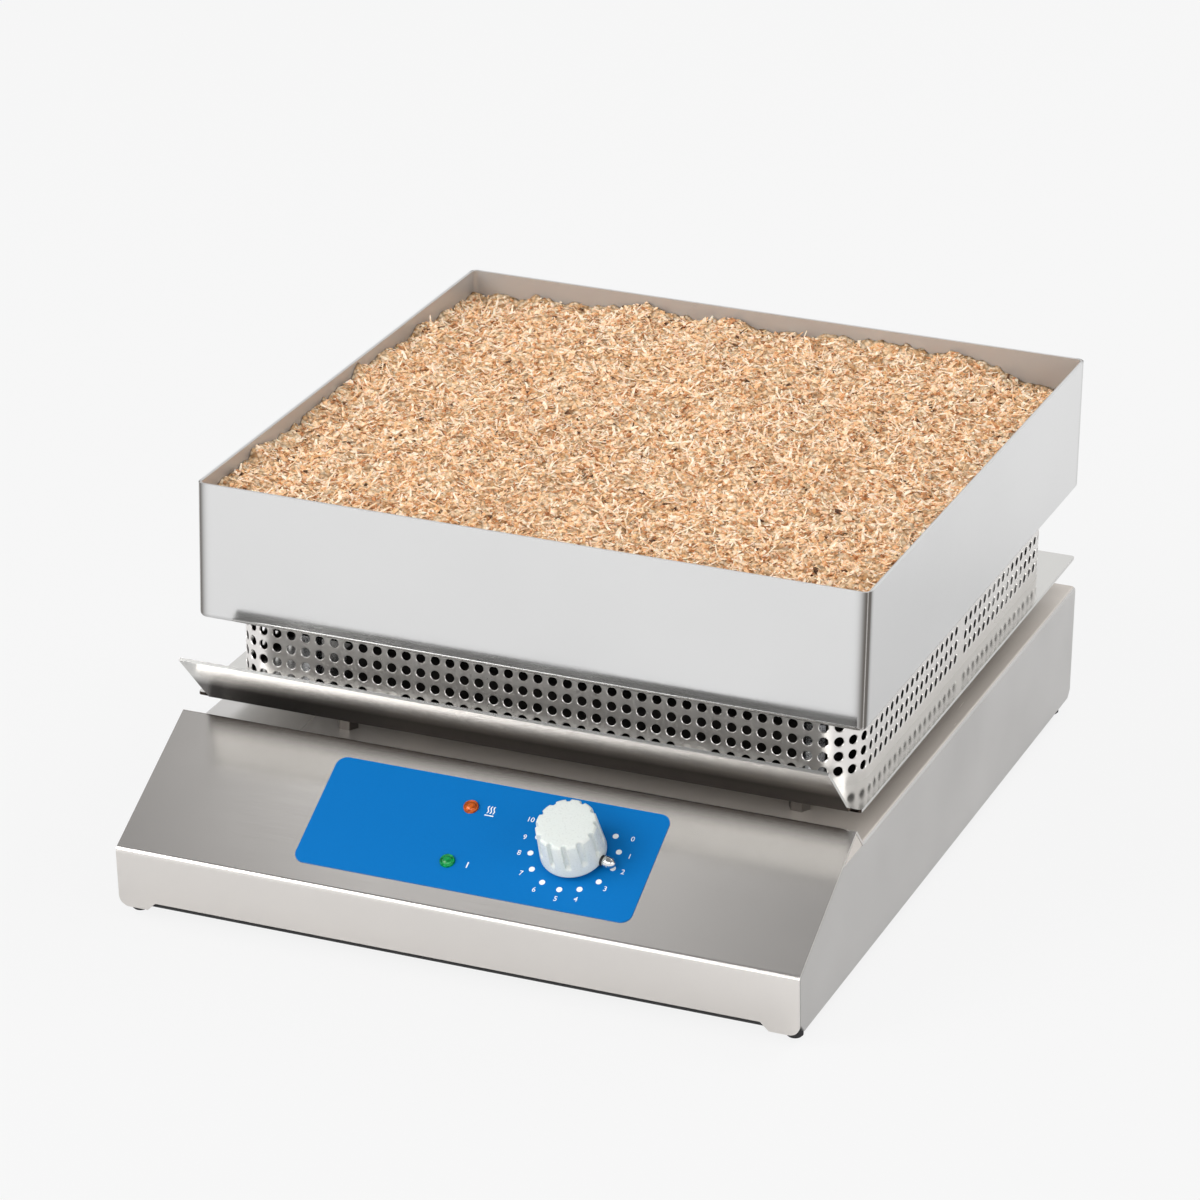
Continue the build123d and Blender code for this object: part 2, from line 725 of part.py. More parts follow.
with BuildPart() as plate_posts:
    with BuildSketch(Plane.XY.offset(shield_top)):
        with Locations(*post_points):
            RegularPolygon(plate_post_radius, 6)
    extrude(amount=plate_bottom - shield_top)
    with BuildSketch(Plane.XY.offset(plate_bottom)):
        with Locations(*post_points):
            Circle(spigot_radius)
    extrude(amount=spigot_length)
plate_posts.part.label = "plate_posts"

# Terminal block on the base, and the blanked cable gland in the back wall
with BuildPart() as terminal_block:
    with BuildSketch(Plane.XY.offset(base_top)):
        with Locations((terminal_x, case_back_y - terminal_from_back)):
            Rectangle(terminal_length, terminal_depth)
    extrude(amount=terminal_height)
    with BuildSketch(Plane.XY.offset(base_top + terminal_height)):
        with Locations((terminal_x, case_back_y - terminal_from_back)):
            with GridLocations(terminal_length / 6, terminal_depth / 2, 5, 2):
                RegularPolygon(terminal_depth / 8, 6)
    extrude(amount=-terminal_height / 3, mode=Mode.SUBTRACT)
terminal_block.part.label = "terminal_block"

with BuildPart() as cord_gland:
    with BuildSketch(Plane.XZ.offset(-case_back_y)):
        with Locations((gland_x, gland_height)):
            Circle(gland_radius)
    extrude(amount=-gland_length)
    chamfer(cord_gland.edges().group_by(Axis.Y)[-1], gland_length / 2)
    with BuildSketch(Plane.XZ.offset(-case_back_y)):
        with Locations((gland_x, gland_height)):
            Circle(gland_thread_radius)
    extrude(amount=case_sheet + 1.5 * gland_nut_height)
cord_gland.part.label = "cord_gland"

with BuildPart() as gland_nut:
    with BuildSketch(Plane.XZ.offset(-case_back_y + case_sheet)):
        with Locations((gland_x, gland_height)):
            RegularPolygon(gland_radius + case_sheet, 6)
            Circle(gland_thread_radius + hole_gap, mode=Mode.SUBTRACT)
    extrude(amount=gland_nut_height)
gland_nut.part.label = "gland_nut"

# Sand tray: a deep open box with folded corners that stands loose on the heating plate
with BuildPart() as sand_tray:
    with BuildSketch(Plane.XY.offset(tray_bottom)):
        with Locations((0, tray_y)):
            RectangleRounded(tray_width, tray_depth, tray_corner_radius)
    extrude(amount=tray_height)
    fillet(sand_tray.edges().group_by(Axis.Z)[0], tray_floor_radius)
    with BuildSketch(Plane.XY.offset(tray_bottom + tray_wall)):
        with Locations((0, tray_y)):
            RectangleRounded(
                tray_width - 2 * tray_wall,
                tray_depth - 2 * tray_wall,
                tray_corner_radius - tray_wall,
            )
    extrude(amount=tray_height, mode=Mode.SUBTRACT)
sand_tray.part.label = "sand_tray"

# The fill, heaped a little away from the walls: its top is a net of flat faces over gentle swells
fill_width = tray_width - 2 * (tray_wall + fill_gap)
fill_depth = tray_depth - 2 * (tray_wall + fill_gap)
fill_floor = tray_bottom + tray_wall


def fill_point(column, row):
    """Point on top of the fill at a crossing of the net, which reaches a little past the walls."""
    x = (column / fill_cells - 0.5) * (fill_width + 2 * fill_gap)
    y = (row / fill_cells - 0.5) * (fill_depth + 2 * fill_gap)
    inset = min(fill_width / 2 - abs(x), fill_depth / 2 - abs(y))
    rise = sin(radians(90 * min(max(inset / heap_edge, 0), 1)))
    swell = fill_swell * sin(x / swell_length) * cos(y / swell_length + x / tray_width)
    return Vector(x, tray_y + y, tray_top - fill_below_rim + fill_crown * rise + swell)


fill_faces = []
for column in range(fill_cells):
    for row in range(fill_cells):
        near_left = fill_point(column, row)
        near_right = fill_point(column + 1, row)
        far_right = fill_point(column + 1, row + 1)
        far_left = fill_point(column, row + 1)
        fill_faces.append(Face(Wire.make_polygon([near_left, near_right, far_right])))
        fill_faces.append(Face(Wire.make_polygon([near_left, far_right, far_left])))
fill_edges = [
    [fill_point(k, 0) for k in range(fill_cells + 1)],
    [fill_point(fill_cells, k) for k in range(fill_cells + 1)],
    [fill_point(k, fill_cells) for k in range(fill_cells, -1, -1)],
    [fill_point(0, k) for k in range(fill_cells, -1, -1)],
]
for edge in fill_edges:
    foot = [Vector(edge[-1].X, edge[-1].Y, fill_floor), Vector(edge[0].X, edge[0].Y, fill_floor)]
    fill_faces.append(Face(Wire.make_polygon(edge + foot)))
fill_faces.append(Face(Wire.make_polygon([Vector(edge[0].X, edge[0].Y, fill_floor) for edge in fill_edges])))
heap = Solid(Shell(fill_faces))

with BuildPart() as sand_fill:
    with BuildSketch(Plane.XY.offset(fill_floor)):
        with Locations((0, tray_y)):
            RectangleRounded(fill_width, fill_depth, tray_corner_radius - tray_wall)
    extrude(amount=tray_height)
    add(heap, mode=Mode.INTERSECT)
sand_fill.part.label = "sand_fill"

for piece in (
    case_body,
    front_panel,
    back_panel,
    base_plate,
    rubber_feet,
    control_overlay,
    regulator_body,
    regulator_nut,
    regulator_spindle,
    knob,
    knob_pointer,
    lamp_holders,
    spacers,
    spacer_bolts,
    spacer_nuts,
    heat_shield,
    guard_band,
    guard_clips,
    insulation_board,
    heating_element,
    lead_sleeves,
    element_clamps,
    clamp_screws,
    limiter_bulb,
    heating_plate,
    plate_posts,
    terminal_block,
    cord_gland,
    gland_nut,
    sand_tray,
    sand_fill,
):
    export_step(piece.part, f"parts/{piece.part.label}.step")
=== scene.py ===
import math
import random

import bpy
from mathutils import Matrix, Vector, noise
from mathutils.bvhtree import BVHTree


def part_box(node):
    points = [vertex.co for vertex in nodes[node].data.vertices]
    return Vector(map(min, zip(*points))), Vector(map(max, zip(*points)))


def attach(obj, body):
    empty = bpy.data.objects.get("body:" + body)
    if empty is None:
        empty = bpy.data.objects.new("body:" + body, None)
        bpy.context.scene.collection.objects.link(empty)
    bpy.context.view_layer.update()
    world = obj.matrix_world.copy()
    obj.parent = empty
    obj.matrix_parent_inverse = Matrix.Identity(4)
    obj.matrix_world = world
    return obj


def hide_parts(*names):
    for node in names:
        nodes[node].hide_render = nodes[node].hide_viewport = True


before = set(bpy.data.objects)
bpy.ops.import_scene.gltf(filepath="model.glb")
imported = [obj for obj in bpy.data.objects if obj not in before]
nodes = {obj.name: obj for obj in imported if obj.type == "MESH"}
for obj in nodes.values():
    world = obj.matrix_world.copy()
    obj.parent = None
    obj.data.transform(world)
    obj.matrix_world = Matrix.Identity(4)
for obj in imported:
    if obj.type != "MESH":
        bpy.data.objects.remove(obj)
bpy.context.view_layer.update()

# Laboratory sand bath: stainless casing with a sloped dial panel, polished heat shield,
# perforated guard and a deep tray of tan chips. All lengths in metres.

mm = 0.001
bpy.context.scene.view_settings.view_transform = "Standard"


def linearColour(hexColour, alpha=1.0):
    # sRGB hex to the linear values that the shader sockets take
    channels = [int(hexColour[k : k + 2], 16) / 255 for k in (1, 3, 5)]
    return tuple(c / 12.92 if c <= 0.04045 else ((c + 0.055) / 1.055) ** 2.4 for c in channels) + (alpha,)


def addNode(tree, kind, inputs=None, **settings):
    # one node, its settings, and its inputs: a socket is linked, anything else is set as a value
    made = tree.nodes.new(kind)
    for name, value in settings.items():
        setattr(made, name, value)
    for name, value in (inputs or {}).items():
        if isinstance(value, bpy.types.NodeSocket):
            tree.links.new(value, made.inputs[name])
        else:
            made.inputs[name].default_value = value
    return made


def newMaterial(name):
    made = bpy.data.materials.new(name)
    made.use_nodes = True
    made.node_tree.nodes.clear()
    return made, made.node_tree


def finishMaterial(tree, surface):
    addNode(tree, "ShaderNodeOutputMaterial", {"Surface": surface})


camera = {
    "place": (0.80925, -2.11355, 1.05346),
    "towards": (-0.33337513, 0.85982442, -0.38673375),
    "rollDegrees": 1.047,
    "lens": 158.705,
}


def makeCamera(c):
    towards = Vector(c["towards"]).normalized()
    side = towards.cross(Vector((0, 0, 1))).normalized()
    above = side.cross(towards)
    roll = math.radians(c["rollDegrees"])
    right = side * math.cos(roll) + above * math.sin(roll)
    up = above * math.cos(roll) - side * math.sin(roll)
    data = bpy.data.cameras.new("studioCamera")
    data.lens = c["lens"]
    data.sensor_width = 36
    data.sensor_fit = "HORIZONTAL"
    data.clip_end = 50
    made = bpy.data.objects.new("studioCamera", data)
    rows = [(right[k], up[k], -towards[k], c["place"][k]) for k in range(3)]
    made.matrix_world = Matrix([*rows, (0, 0, 0, 1)])
    bpy.context.scene.collection.objects.link(made)
    bpy.context.scene.camera = made


makeCamera(camera)
print("camera placed")


studio = {
    "backdropColour": "#F7F7F7",
    "paperColour": "#EAEAEA",  # what the floor gives to reflections and bounced light
    "floorShown": 0.93,  # share of plain white in what the camera sees of the floor
    "floorSize": 14.0,
    # height on the sky from 0 at the horizon to 1 overhead, and brightness there
    "sky": ((0.0, 0.9), (0.45, 0.95), (0.64, 0.5), (0.82, 0.26)),
    # name, place, size, watts, aimed at
    "softboxes": (
        ("keySoftbox", (-1.9, -1.9, 1.9), (1.8, 1.8), 52, (0, 0, 0.1)),
        ("frontSoftbox", (0.2, -2.9, 1.35), (2.4, 1.0), 20, (0, 0, 0.08)),
        ("rearSoftbox", (0.9, 1.5, 2.3), (1.6, 1.2), 30, (0, 0, 0.1)),
        ("rightSoftbox", (2.2, -1.2, 1.2), (1.0, 1.0), 7, (0, 0, 0.1)),
        ("slopeSoftbox", (-0.86, 0.2, 2.4), (0.6, 0.45), 0.6, (0, -0.16, 0.05)),
    ),
}


def makeStudio(s):
    white = linearColour(s["backdropColour"])
    world = bpy.data.worlds.new("studioWorld")
    bpy.context.scene.world = world
    world.use_nodes = True
    tree = world.node_tree
    tree.nodes.clear()
    place = addNode(tree, "ShaderNodeTexCoord")
    apart = addNode(tree, "ShaderNodeSeparateXYZ", {"Vector": place.outputs["Generated"]})
    ramp = addNode(tree, "ShaderNodeValToRGB", {"Fac": apart.outputs["Z"]})
    stops = ramp.color_ramp.elements
    for k, (height, brightness) in enumerate(s["sky"]):
        stop = stops[k] if k < 2 else stops.new(height)
        stop.position = height
        stop.color = (brightness, brightness, brightness, 1)
    rays = addNode(tree, "ShaderNodeLightPath")
    around = addNode(tree, "ShaderNodeBackground", {"Color": ramp.outputs["Color"], "Strength": 1.0})
    seen = addNode(tree, "ShaderNodeBackground", {"Color": white, "Strength": 1.0})
    shown = rays.outputs["Is Camera Ray"]
    sky = addNode(tree, "ShaderNodeMixShader", {0: shown, 1: around.outputs[0], 2: seen.outputs[0]})
    addNode(tree, "ShaderNodeOutputWorld", {"Surface": sky.outputs[0]})

    half = s["floorSize"] / 2
    mesh = bpy.data.meshes.new("studioFloor")
    corners = [(-half, -half, 0), (half, -half, 0), (half, half, 0), (-half, half, 0)]
    mesh.from_pydata(corners, [], [(0, 1, 2, 3)])
    floor = bpy.data.objects.new("studioFloor", mesh)
    bpy.context.scene.collection.objects.link(floor)
    made, tree = newMaterial("paper sweep, matt white")
    paper = addNode(tree, "ShaderNodeBsdfDiffuse", {"Color": linearColour(s["paperColour"])})
    bright = addNode(tree, "ShaderNodeEmission", {"Color": white, "Strength": 1.0})
    rays = addNode(tree, "ShaderNodeLightPath")
    shown = rays.outputs["Is Camera Ray"]
    mostly = addNode(tree, "ShaderNodeMath", {0: shown, 1: s["floorShown"]}, operation="MULTIPLY")
    layers = {0: mostly.outputs[0], 1: paper.outputs[0], 2: bright.outputs[0]}
    mixed = addNode(tree, "ShaderNodeMixShader", layers)
    finishMaterial(tree, mixed.outputs[0])
    mesh.materials.append(made)

    for name, place, size, watts, aim in s["softboxes"]:
        data = bpy.data.lights.new(name, "AREA")
        data.shape = "RECTANGLE"
        data.size, data.size_y = size
        data.energy = watts
        made = bpy.data.objects.new(name, data)
        made.location = place
        made.rotation_euler = (Vector(aim) - Vector(place)).to_track_quat("-Z", "Y").to_euler()
        bpy.context.scene.collection.objects.link(made)


makeStudio(studio)
print("studio lit")


def sheetSteel(
    name,
    tint,
    roughness,
    grain=(1, 1, 1),
    lineWidth=0.5 * mm,
    lineDepth=0.004 * mm,
    streak=0.04,
    cloudShade=0.03,
    cloudSize=80 * mm,
    extra=None,
):
    # Stainless sheet: a plain metal whose rolling or brushing lines, drawn out by grain (small is along
    # the lines), move its roughness and bump a little, so that reflections smear along them. Broad clouds
    # dull it in places and darken its colour a little there, a painted unevenness of reflection.
    # extra(tree, place, rough, colour) gives the shader inputs that one sheet changes.
    made, tree = newMaterial(name)
    place = addNode(tree, "ShaderNodeTexCoord").outputs["Object"]
    stretched = addNode(tree, "ShaderNodeMapping", {"Vector": place, "Scale": grain})
    lines = addNode(
        tree,
        "ShaderNodeTexNoise",
        {"Vector": stretched.outputs[0], "Scale": 1 / (2 * lineWidth), "Detail": 3.0, "Roughness": 0.6},
    ).outputs[0]
    broad = {"Vector": place, "Scale": 1 / cloudSize, "Detail": 3.0}
    clouds = addNode(tree, "ShaderNodeTexNoise", broad).outputs[0]
    lined = addNode(
        tree,
        "ShaderNodeMapRange",
        {0: lines, 1: 0.3, 2: 0.7, 3: roughness - streak / 2, 4: roughness + streak / 2},
    ).outputs[0]
    marked = addNode(tree, "ShaderNodeMapRange", {0: clouds, 1: 0.35, 2: 0.7, 3: 0.0, 4: streak})
    rough = addNode(tree, "ShaderNodeMath", {0: lined, 1: marked.outputs[0]}, operation="ADD").outputs[0]
    # painted reflection: the clouds darken the colour by up to cloudShade
    shade = addNode(tree, "ShaderNodeMapRange", {0: clouds, 1: 0.3, 2: 0.7, 3: 1.0, 4: 1 - cloudShade})
    colour = addNode(
        tree,
        "ShaderNodeMix",
        {0: 1.0, 6: linearColour(tint), 7: shade.outputs[0]},
        data_type="RGBA",
        blend_type="MULTIPLY",
    ).outputs[2]
    bump = addNode(tree, "ShaderNodeBump", {"Strength": 0.3, "Distance": lineDepth, "Height": lines})
    inputs = {"Base Color": colour, "Metallic": 1.0, "Roughness": rough, "Normal": bump.outputs[0]}
    if extra:
        inputs.update(extra(tree, place, rough, colour))
    metal = addNode(tree, "ShaderNodeBsdfPrincipled", inputs)
    finishMaterial(tree, metal.outputs[0])
    return made


trayMarks = {
    "seamFromBack": 2.2 * mm,
    "seamWidth": (0.15 * mm, 0.7 * mm),  # full dark within the first, gone at the second
    "seamColour": "#4A4745",
    "bend": 4 * mm,
    "bendFade": (-2.5 * mm, 5.5 * mm),  # distance past the start of both bends, added up
    "bendPower": 5.0,
    "bendShadeColour": "#6B6763",
    "outerSide": (3 * mm, 2 * mm),  # the joint shows from the second outwards
    "skin": (1.2 * mm, 0.9 * mm),  # deeper than the first is the inner side of a wall
    "innerColour": "#BDBAB7",
    "innerDull": 0.25,
    "innerMetal": 0.5,
    "rimDull": 1.6,  # times that of the inner walls
    "rimDepth": (0.25 * mm, 0.1 * mm),
}


def trayWear(tree, place, rough, colour):
    # the folded corners of the tray: a thin dark joint down each side wall, just behind the rounded corner
    t = trayMarks
    low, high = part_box("sand_tray")
    middle = (low + high) / 2
    half = (high - low) / 2
    apart = addNode(tree, "ShaderNodeSeparateXYZ", {"Vector": place})
    sideways = addNode(tree, "ShaderNodeMath", {0: apart.outputs[0]}, operation="ABSOLUTE").outputs[0]
    shifted = addNode(tree, "ShaderNodeMath", {0: apart.outputs[1], 1: middle.y}, operation="SUBTRACT")
    away = addNode(tree, "ShaderNodeMath", {0: shifted.outputs[0]}, operation="ABSOLUTE").outputs[0]
    seam = half.y - t["seamFromBack"]
    fromSeam = addNode(tree, "ShaderNodeMath", {0: away, 1: seam}, operation="SUBTRACT").outputs[0]
    near = addNode(tree, "ShaderNodeMath", {0: fromSeam}, operation="ABSOLUTE").outputs[0]
    full, gone = t["seamWidth"]
    joint = addNode(tree, "ShaderNodeMapRange", {0: near, 1: full, 2: gone, 3: 1.0, 4: 0.0}).outputs[0]
    start, end = (half.x - depth for depth in t["outerSide"])
    outer = addNode(tree, "ShaderNodeMapRange", {0: sideways, 1: start, 2: end}).outputs[0]
    seamShown = addNode(tree, "ShaderNodeMath", {0: joint, 1: outer}, operation="MULTIPLY").outputs[0]
    tones = {0: seamShown, 6: colour, 7: linearColour(t["seamColour"])}
    seamed = addNode(tree, "ShaderNodeMix", tones, data_type="RGBA").outputs[2]
    # painted reflection: the colour darkens towards the rounded corners, standing in for the dark
    # reflection along each bend
    pastX = addNode(tree, "ShaderNodeMath", {0: sideways, 1: half.x - t["bend"]}, operation="SUBTRACT")
    pastY = addNode(tree, "ShaderNodeMath", {0: away, 1: half.y - t["bend"]}, operation="SUBTRACT")
    both = {0: pastX.outputs[0], 1: pastY.outputs[0]}
    past = addNode(tree, "ShaderNodeMath", both, operation="ADD").outputs[0]
    start, end = t["bendFade"]
    fade = addNode(tree, "ShaderNodeMapRange", {0: past, 1: start, 2: end}).outputs[0]
    bendShade = addNode(tree, "ShaderNodeMath", {0: fade, 1: t["bendPower"]}, operation="POWER").outputs[0]
    tones = {0: bendShade, 6: seamed, 7: linearColour(t["bendShadeColour"])}
    outside = addNode(tree, "ShaderNodeMix", tones, data_type="RGBA").outputs[2]
    # the inner walls are duller, greyer and less metallic than the outside
    within = {}
    for axis, (distance, reach) in enumerate(((sideways, half.x), (away, half.y))):
        start, end = (reach - depth for depth in t["skin"])
        values = {0: distance, 1: start, 2: end, 3: 1.0, 4: 0.0}
        within[axis] = addNode(tree, "ShaderNodeMapRange", values).outputs[0]
    innerWalls = addNode(tree, "ShaderNodeMath", within, operation="MULTIPLY").outputs[0]
    # the cut edge along the rim is matt and bright
    start, end = (high.z - depth for depth in t["rimDepth"])
    cut = addNode(tree, "ShaderNodeMapRange", {0: apart.outputs[2], 1: start, 2: end}).outputs[0]
    blurred = addNode(tree, "ShaderNodeMath", {0: cut, 1: t["rimDull"]}, operation="MULTIPLY").outputs[0]
    worn = addNode(tree, "ShaderNodeMath", {0: innerWalls, 1: blurred}, operation="MAXIMUM").outputs[0]
    dull = addNode(tree, "ShaderNodeMath", {0: worn, 1: t["innerDull"]}, operation="MULTIPLY").outputs[0]
    summed = addNode(tree, "ShaderNodeMath", {0: rough, 1: dull}, operation="ADD").outputs[0]
    tones = {0: innerWalls, 6: outside, 7: linearColour(t["innerColour"])}
    tinted = addNode(tree, "ShaderNodeMix", tones, data_type="RGBA").outputs[2]
    matt = addNode(tree, "ShaderNodeMapRange", {0: innerWalls, 3: 1.0, 4: t["innerMetal"]}).outputs[0]
    return {"Roughness": summed, "Base Color": tinted, "Metallic": matt}


deckReflectionTint = {
    "colour": "#CFC7BF",
    "dull": 0.04,
    "metal": 0.25,
    "fromLeft": (-150 * mm, -60 * mm),  # the tint starts at the first and is full at the second
    "belowDeck": (0.6 * mm, 0.1 * mm),
}


def stainedDeck(tree, place, rough, colour):
    # painted reflection: the deck under the heater is tinted brownish grey and made duller and less
    # metallic, standing in for its brown-grey reflection of the shield's underside; its left end and the
    # sides shine
    d = deckReflectionTint
    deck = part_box("spacers")[0].z
    apart = addNode(tree, "ShaderNodeSeparateXYZ", {"Vector": place})
    start, end = (deck - depth for depth in d["belowDeck"])
    onDeck = addNode(tree, "ShaderNodeMapRange", {0: apart.outputs[2], 1: start, 2: end}).outputs[0]
    start, end = d["fromLeft"]
    inward = addNode(tree, "ShaderNodeMapRange", {0: apart.outputs[0], 1: start, 2: end}).outputs[0]
    deckTint = addNode(tree, "ShaderNodeMath", {0: onDeck, 1: inward}, operation="MULTIPLY").outputs[0]
    dull = addNode(tree, "ShaderNodeMath", {0: deckTint, 1: d["dull"]}, operation="MULTIPLY").outputs[0]
    summed = addNode(tree, "ShaderNodeMath", {0: rough, 1: dull}, operation="ADD").outputs[0]
    matt = addNode(tree, "ShaderNodeMapRange", {0: deckTint, 3: 1.0, 4: d["metal"]}).outputs[0]
    # painted reflection: brownish grey mixed into the deck's colour
    tones = {0: deckTint, 6: colour, 7: linearColour(d["colour"])}
    tinted = addNode(tree, "ShaderNodeMix", tones, data_type="RGBA").outputs[2]
    return {"Roughness": summed, "Base Color": tinted, "Metallic": matt}


shieldDullAndShade = {
    "underDull": 0.2,
    "foldShadeColour": "#3A332E",
    "foldFade": (11 * mm, 18 * mm),  # height over the shield's underside
}


def heatTint(tree, place, rough, colour):
    # the shield's underside is tarnished, and the front face of its lip is darkened near the fold: painted
    # shade
    t = shieldDullAndShade
    normal = addNode(tree, "ShaderNodeNewGeometry").outputs["Normal"]
    facing = addNode(tree, "ShaderNodeSeparateXYZ", {"Vector": normal})
    tarnish = {0: facing.outputs[2], 1: -0.97, 2: -0.9, 3: t["underDull"], 4: 0.0}
    under = addNode(tree, "ShaderNodeMapRange", tarnish).outputs[0]
    summed = addNode(tree, "ShaderNodeMath", {0: rough, 1: under}, operation="ADD").outputs[0]
    apart = addNode(tree, "ShaderNodeSeparateXYZ", {"Vector": place})
    start, end = (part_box("heat_shield")[0].z + height for height in t["foldFade"])
    nearFold = {0: apart.outputs[2], 1: start, 2: end, 3: 1.0, 4: 0.0}
    low = addNode(tree, "ShaderNodeMapRange", nearFold).outputs[0]
    frontwards = {0: facing.outputs[1], 1: -0.5, 2: -0.3, 3: 1.0, 4: 0.0}
    outside = addNode(tree, "ShaderNodeMapRange", frontwards).outputs[0]
    foldShade = addNode(tree, "ShaderNodeMath", {0: low, 1: outside}, operation="MULTIPLY").outputs[0]
    # painted shade: the lip's front face turns dark towards the fold
    tones = {0: foldShade, 6: colour, 7: linearColour(t["foldShadeColour"])}
    tinted = addNode(tree, "ShaderNodeMix", tones, data_type="RGBA").outputs[2]
    return {"Roughness": summed, "Base Color": tinted}


def moulded(name, tint, roughness, grainSize=0.8 * mm, grainDepth=0.01 * mm, subsurface=0.0, gloss=0.5):
    # Injection-moulded plastic, rubber or printed film: even colour under a fine spark-eroded grain,
    # which breaks up the gloss; gloss is the shader's specular level
    made, tree = newMaterial(name)
    place = addNode(tree, "ShaderNodeTexCoord").outputs["Object"]
    noisy = {"Vector": place, "Scale": 1 / grainSize, "Detail": 2.0}
    grain = addNode(tree, "ShaderNodeTexNoise", noisy).outputs[0]
    shade = addNode(tree, "ShaderNodeMapRange", {0: grain, 1: 0.3, 2: 0.7, 3: 0.96, 4: 1.0})
    colour = addNode(
        tree,
        "ShaderNodeMix",
        {0: 1.0, 6: linearColour(tint), 7: shade.outputs[0]},
        data_type="RGBA",
        blend_type="MULTIPLY",
    )
    swing = 0.04
    spread = {0: grain, 1: 0.3, 2: 0.7, 3: roughness - swing, 4: roughness + swing}
    rough = addNode(tree, "ShaderNodeMapRange", spread)
    bump = addNode(tree, "ShaderNodeBump", {"Strength": 0.3, "Distance": grainDepth, "Height": grain})
    body = addNode(
        tree,
        "ShaderNodeBsdfPrincipled",
        {
            "Base Color": colour.outputs[2],
            "Roughness": rough.outputs[0],
            "Normal": bump.outputs[0],
            "Specular IOR Level": gloss,
            "Subsurface Weight": subsurface,
            "Subsurface Scale": 2 * mm,
        },
    )
    finishMaterial(tree, body.outputs[0])
    return made


def lampLens(name, tint, deep, prismSize=1.3 * mm):
    # Moulded acrylic signal lens, unlit: small prisms inside break its colour into light and deep facets
    made, tree = newMaterial(name)
    place = addNode(tree, "ShaderNodeTexCoord").outputs["Object"]
    prisms = addNode(tree, "ShaderNodeTexVoronoi", {"Vector": place, "Scale": 1 / prismSize})
    tone = addNode(tree, "ShaderNodeSeparateColor", {"Color": prisms.outputs["Color"]})
    facets = {0: tone.outputs[0], 6: linearColour(tint), 7: linearColour(deep)}
    colour = addNode(tree, "ShaderNodeMix", facets, data_type="RGBA")
    relief = {"Strength": 0.4, "Distance": 0.1 * mm, "Height": prisms.outputs["Distance"]}
    bump = addNode(tree, "ShaderNodeBump", relief)
    body = addNode(
        tree,
        "ShaderNodeBsdfPrincipled",
        {
            "Base Color": colour.outputs[2],
            "Roughness": 0.16,
            "Normal": bump.outputs[0],
            "IOR": 1.49,
            "Specular IOR Level": 0.4,
        },
    )
    finishMaterial(tree, body.outputs[0])
    return made


fineLine = 0.001 * mm
alongX, alongY = (0.04, 1, 1), (1, 0.04, 1)
alongSlope, alongLip = (0.03, 1, 1), (1, 0.03, 1)

finishes = {
    "traySheet": sheetSteel(
        "stainless sheet, bright rolled", "#DEDEDE", 0.09, alongX, lineDepth=fineLine, extra=trayWear
    ),
    "caseSheet": sheetSteel(
        "stainless sheet, fine brushed",
        "#D0CECC",
        0.18,
        alongY,
        lineDepth=fineLine,
        cloudShade=0.14,
        extra=stainedDeck,
    ),
    "panelSheet": sheetSteel(
        "stainless sheet, brushed across", "#E4E0DC", 0.2, alongSlope, lineDepth=0.4 * fineLine, streak=0.03
    ),
    "shieldSheet": sheetSteel(
        "stainless sheet, bright annealed",
        "#D8D7D4",
        0.16,
        alongLip,
        lineDepth=fineLine,
        streak=0.03,
        extra=heatTint,
    ),
    # painted shade: the guard's inner face is dark so that its holes look dark
    "guardInside": sheetSteel("perforated stainless, dark as painted shade", "#4A443F", 0.5, lineDepth=fineLine),
    "guardSheet": sheetSteel(
        "perforated stainless, bright", "#EAE7E4", 0.28, lineDepth=fineLine, cloudShade=0.06
    ),
    # painted shade: the base plate is black so that its edge shows as a dark line under the front apron
    "baseSheet": moulded("steel sheet, black as painted shade", "#1B1B1C", 0.5),
    "plated": sheetSteel("zinc-plated steel", "#C8C9CC", 0.25),
    "pointer": sheetSteel("turned steel, polished", "#E2E2E0", 0.1, lineWidth=0.1 * mm),
    # painted shade: the spacers are tinted dark, as they look in the shade under the shield
    "spacer": sheetSteel("turned steel, darkened as painted shade", "#77736F", 0.35, lineWidth=0.2 * mm),
    "darkSteel": sheetSteel("heat-darkened steel", "#6A635C", 0.4),
    # painted shade: the heating plate is near black so that the space behind the guard looks dark
    "castPlate": sheetSteel("cast aluminium, dark as painted shade", "#232120", 0.6, lineWidth=1.0 * mm),
    "copper": sheetSteel("copper tube, drawn", "#B8795A", 0.3),
    "rubber": moulded("rubber, moulded dark grey", "#2A2A2B", 0.75),
    "blackPlastic": moulded("polyamide, black", "#1C1D1F", 0.45),
    "knobPlastic": moulded("ABS, off-white", "#D9DEDA", 0.3, grainDepth=0.003 * mm, subsurface=0.02),
    "overlay": moulded("polyester film, printed blue", "#0570BA", 0.5, gloss=0.1),
    "ink": moulded("screen ink, white", "#F6F8F8", 0.6, gloss=0.25),
    "ceramic": moulded("steatite ceramic, unglazed", "#E2DCCD", 0.6),
    # painted shade: the insulation board is near black so that the space behind the guard looks dark
    "fibre": moulded("mineral fibre board, dark as painted shade", "#2B2724", 0.9),
    "amber": lampLens("acrylic lens, amber", "#D9651C", "#94400E"),
    "green": lampLens("acrylic lens, green", "#0CA554", "#046A34"),
}

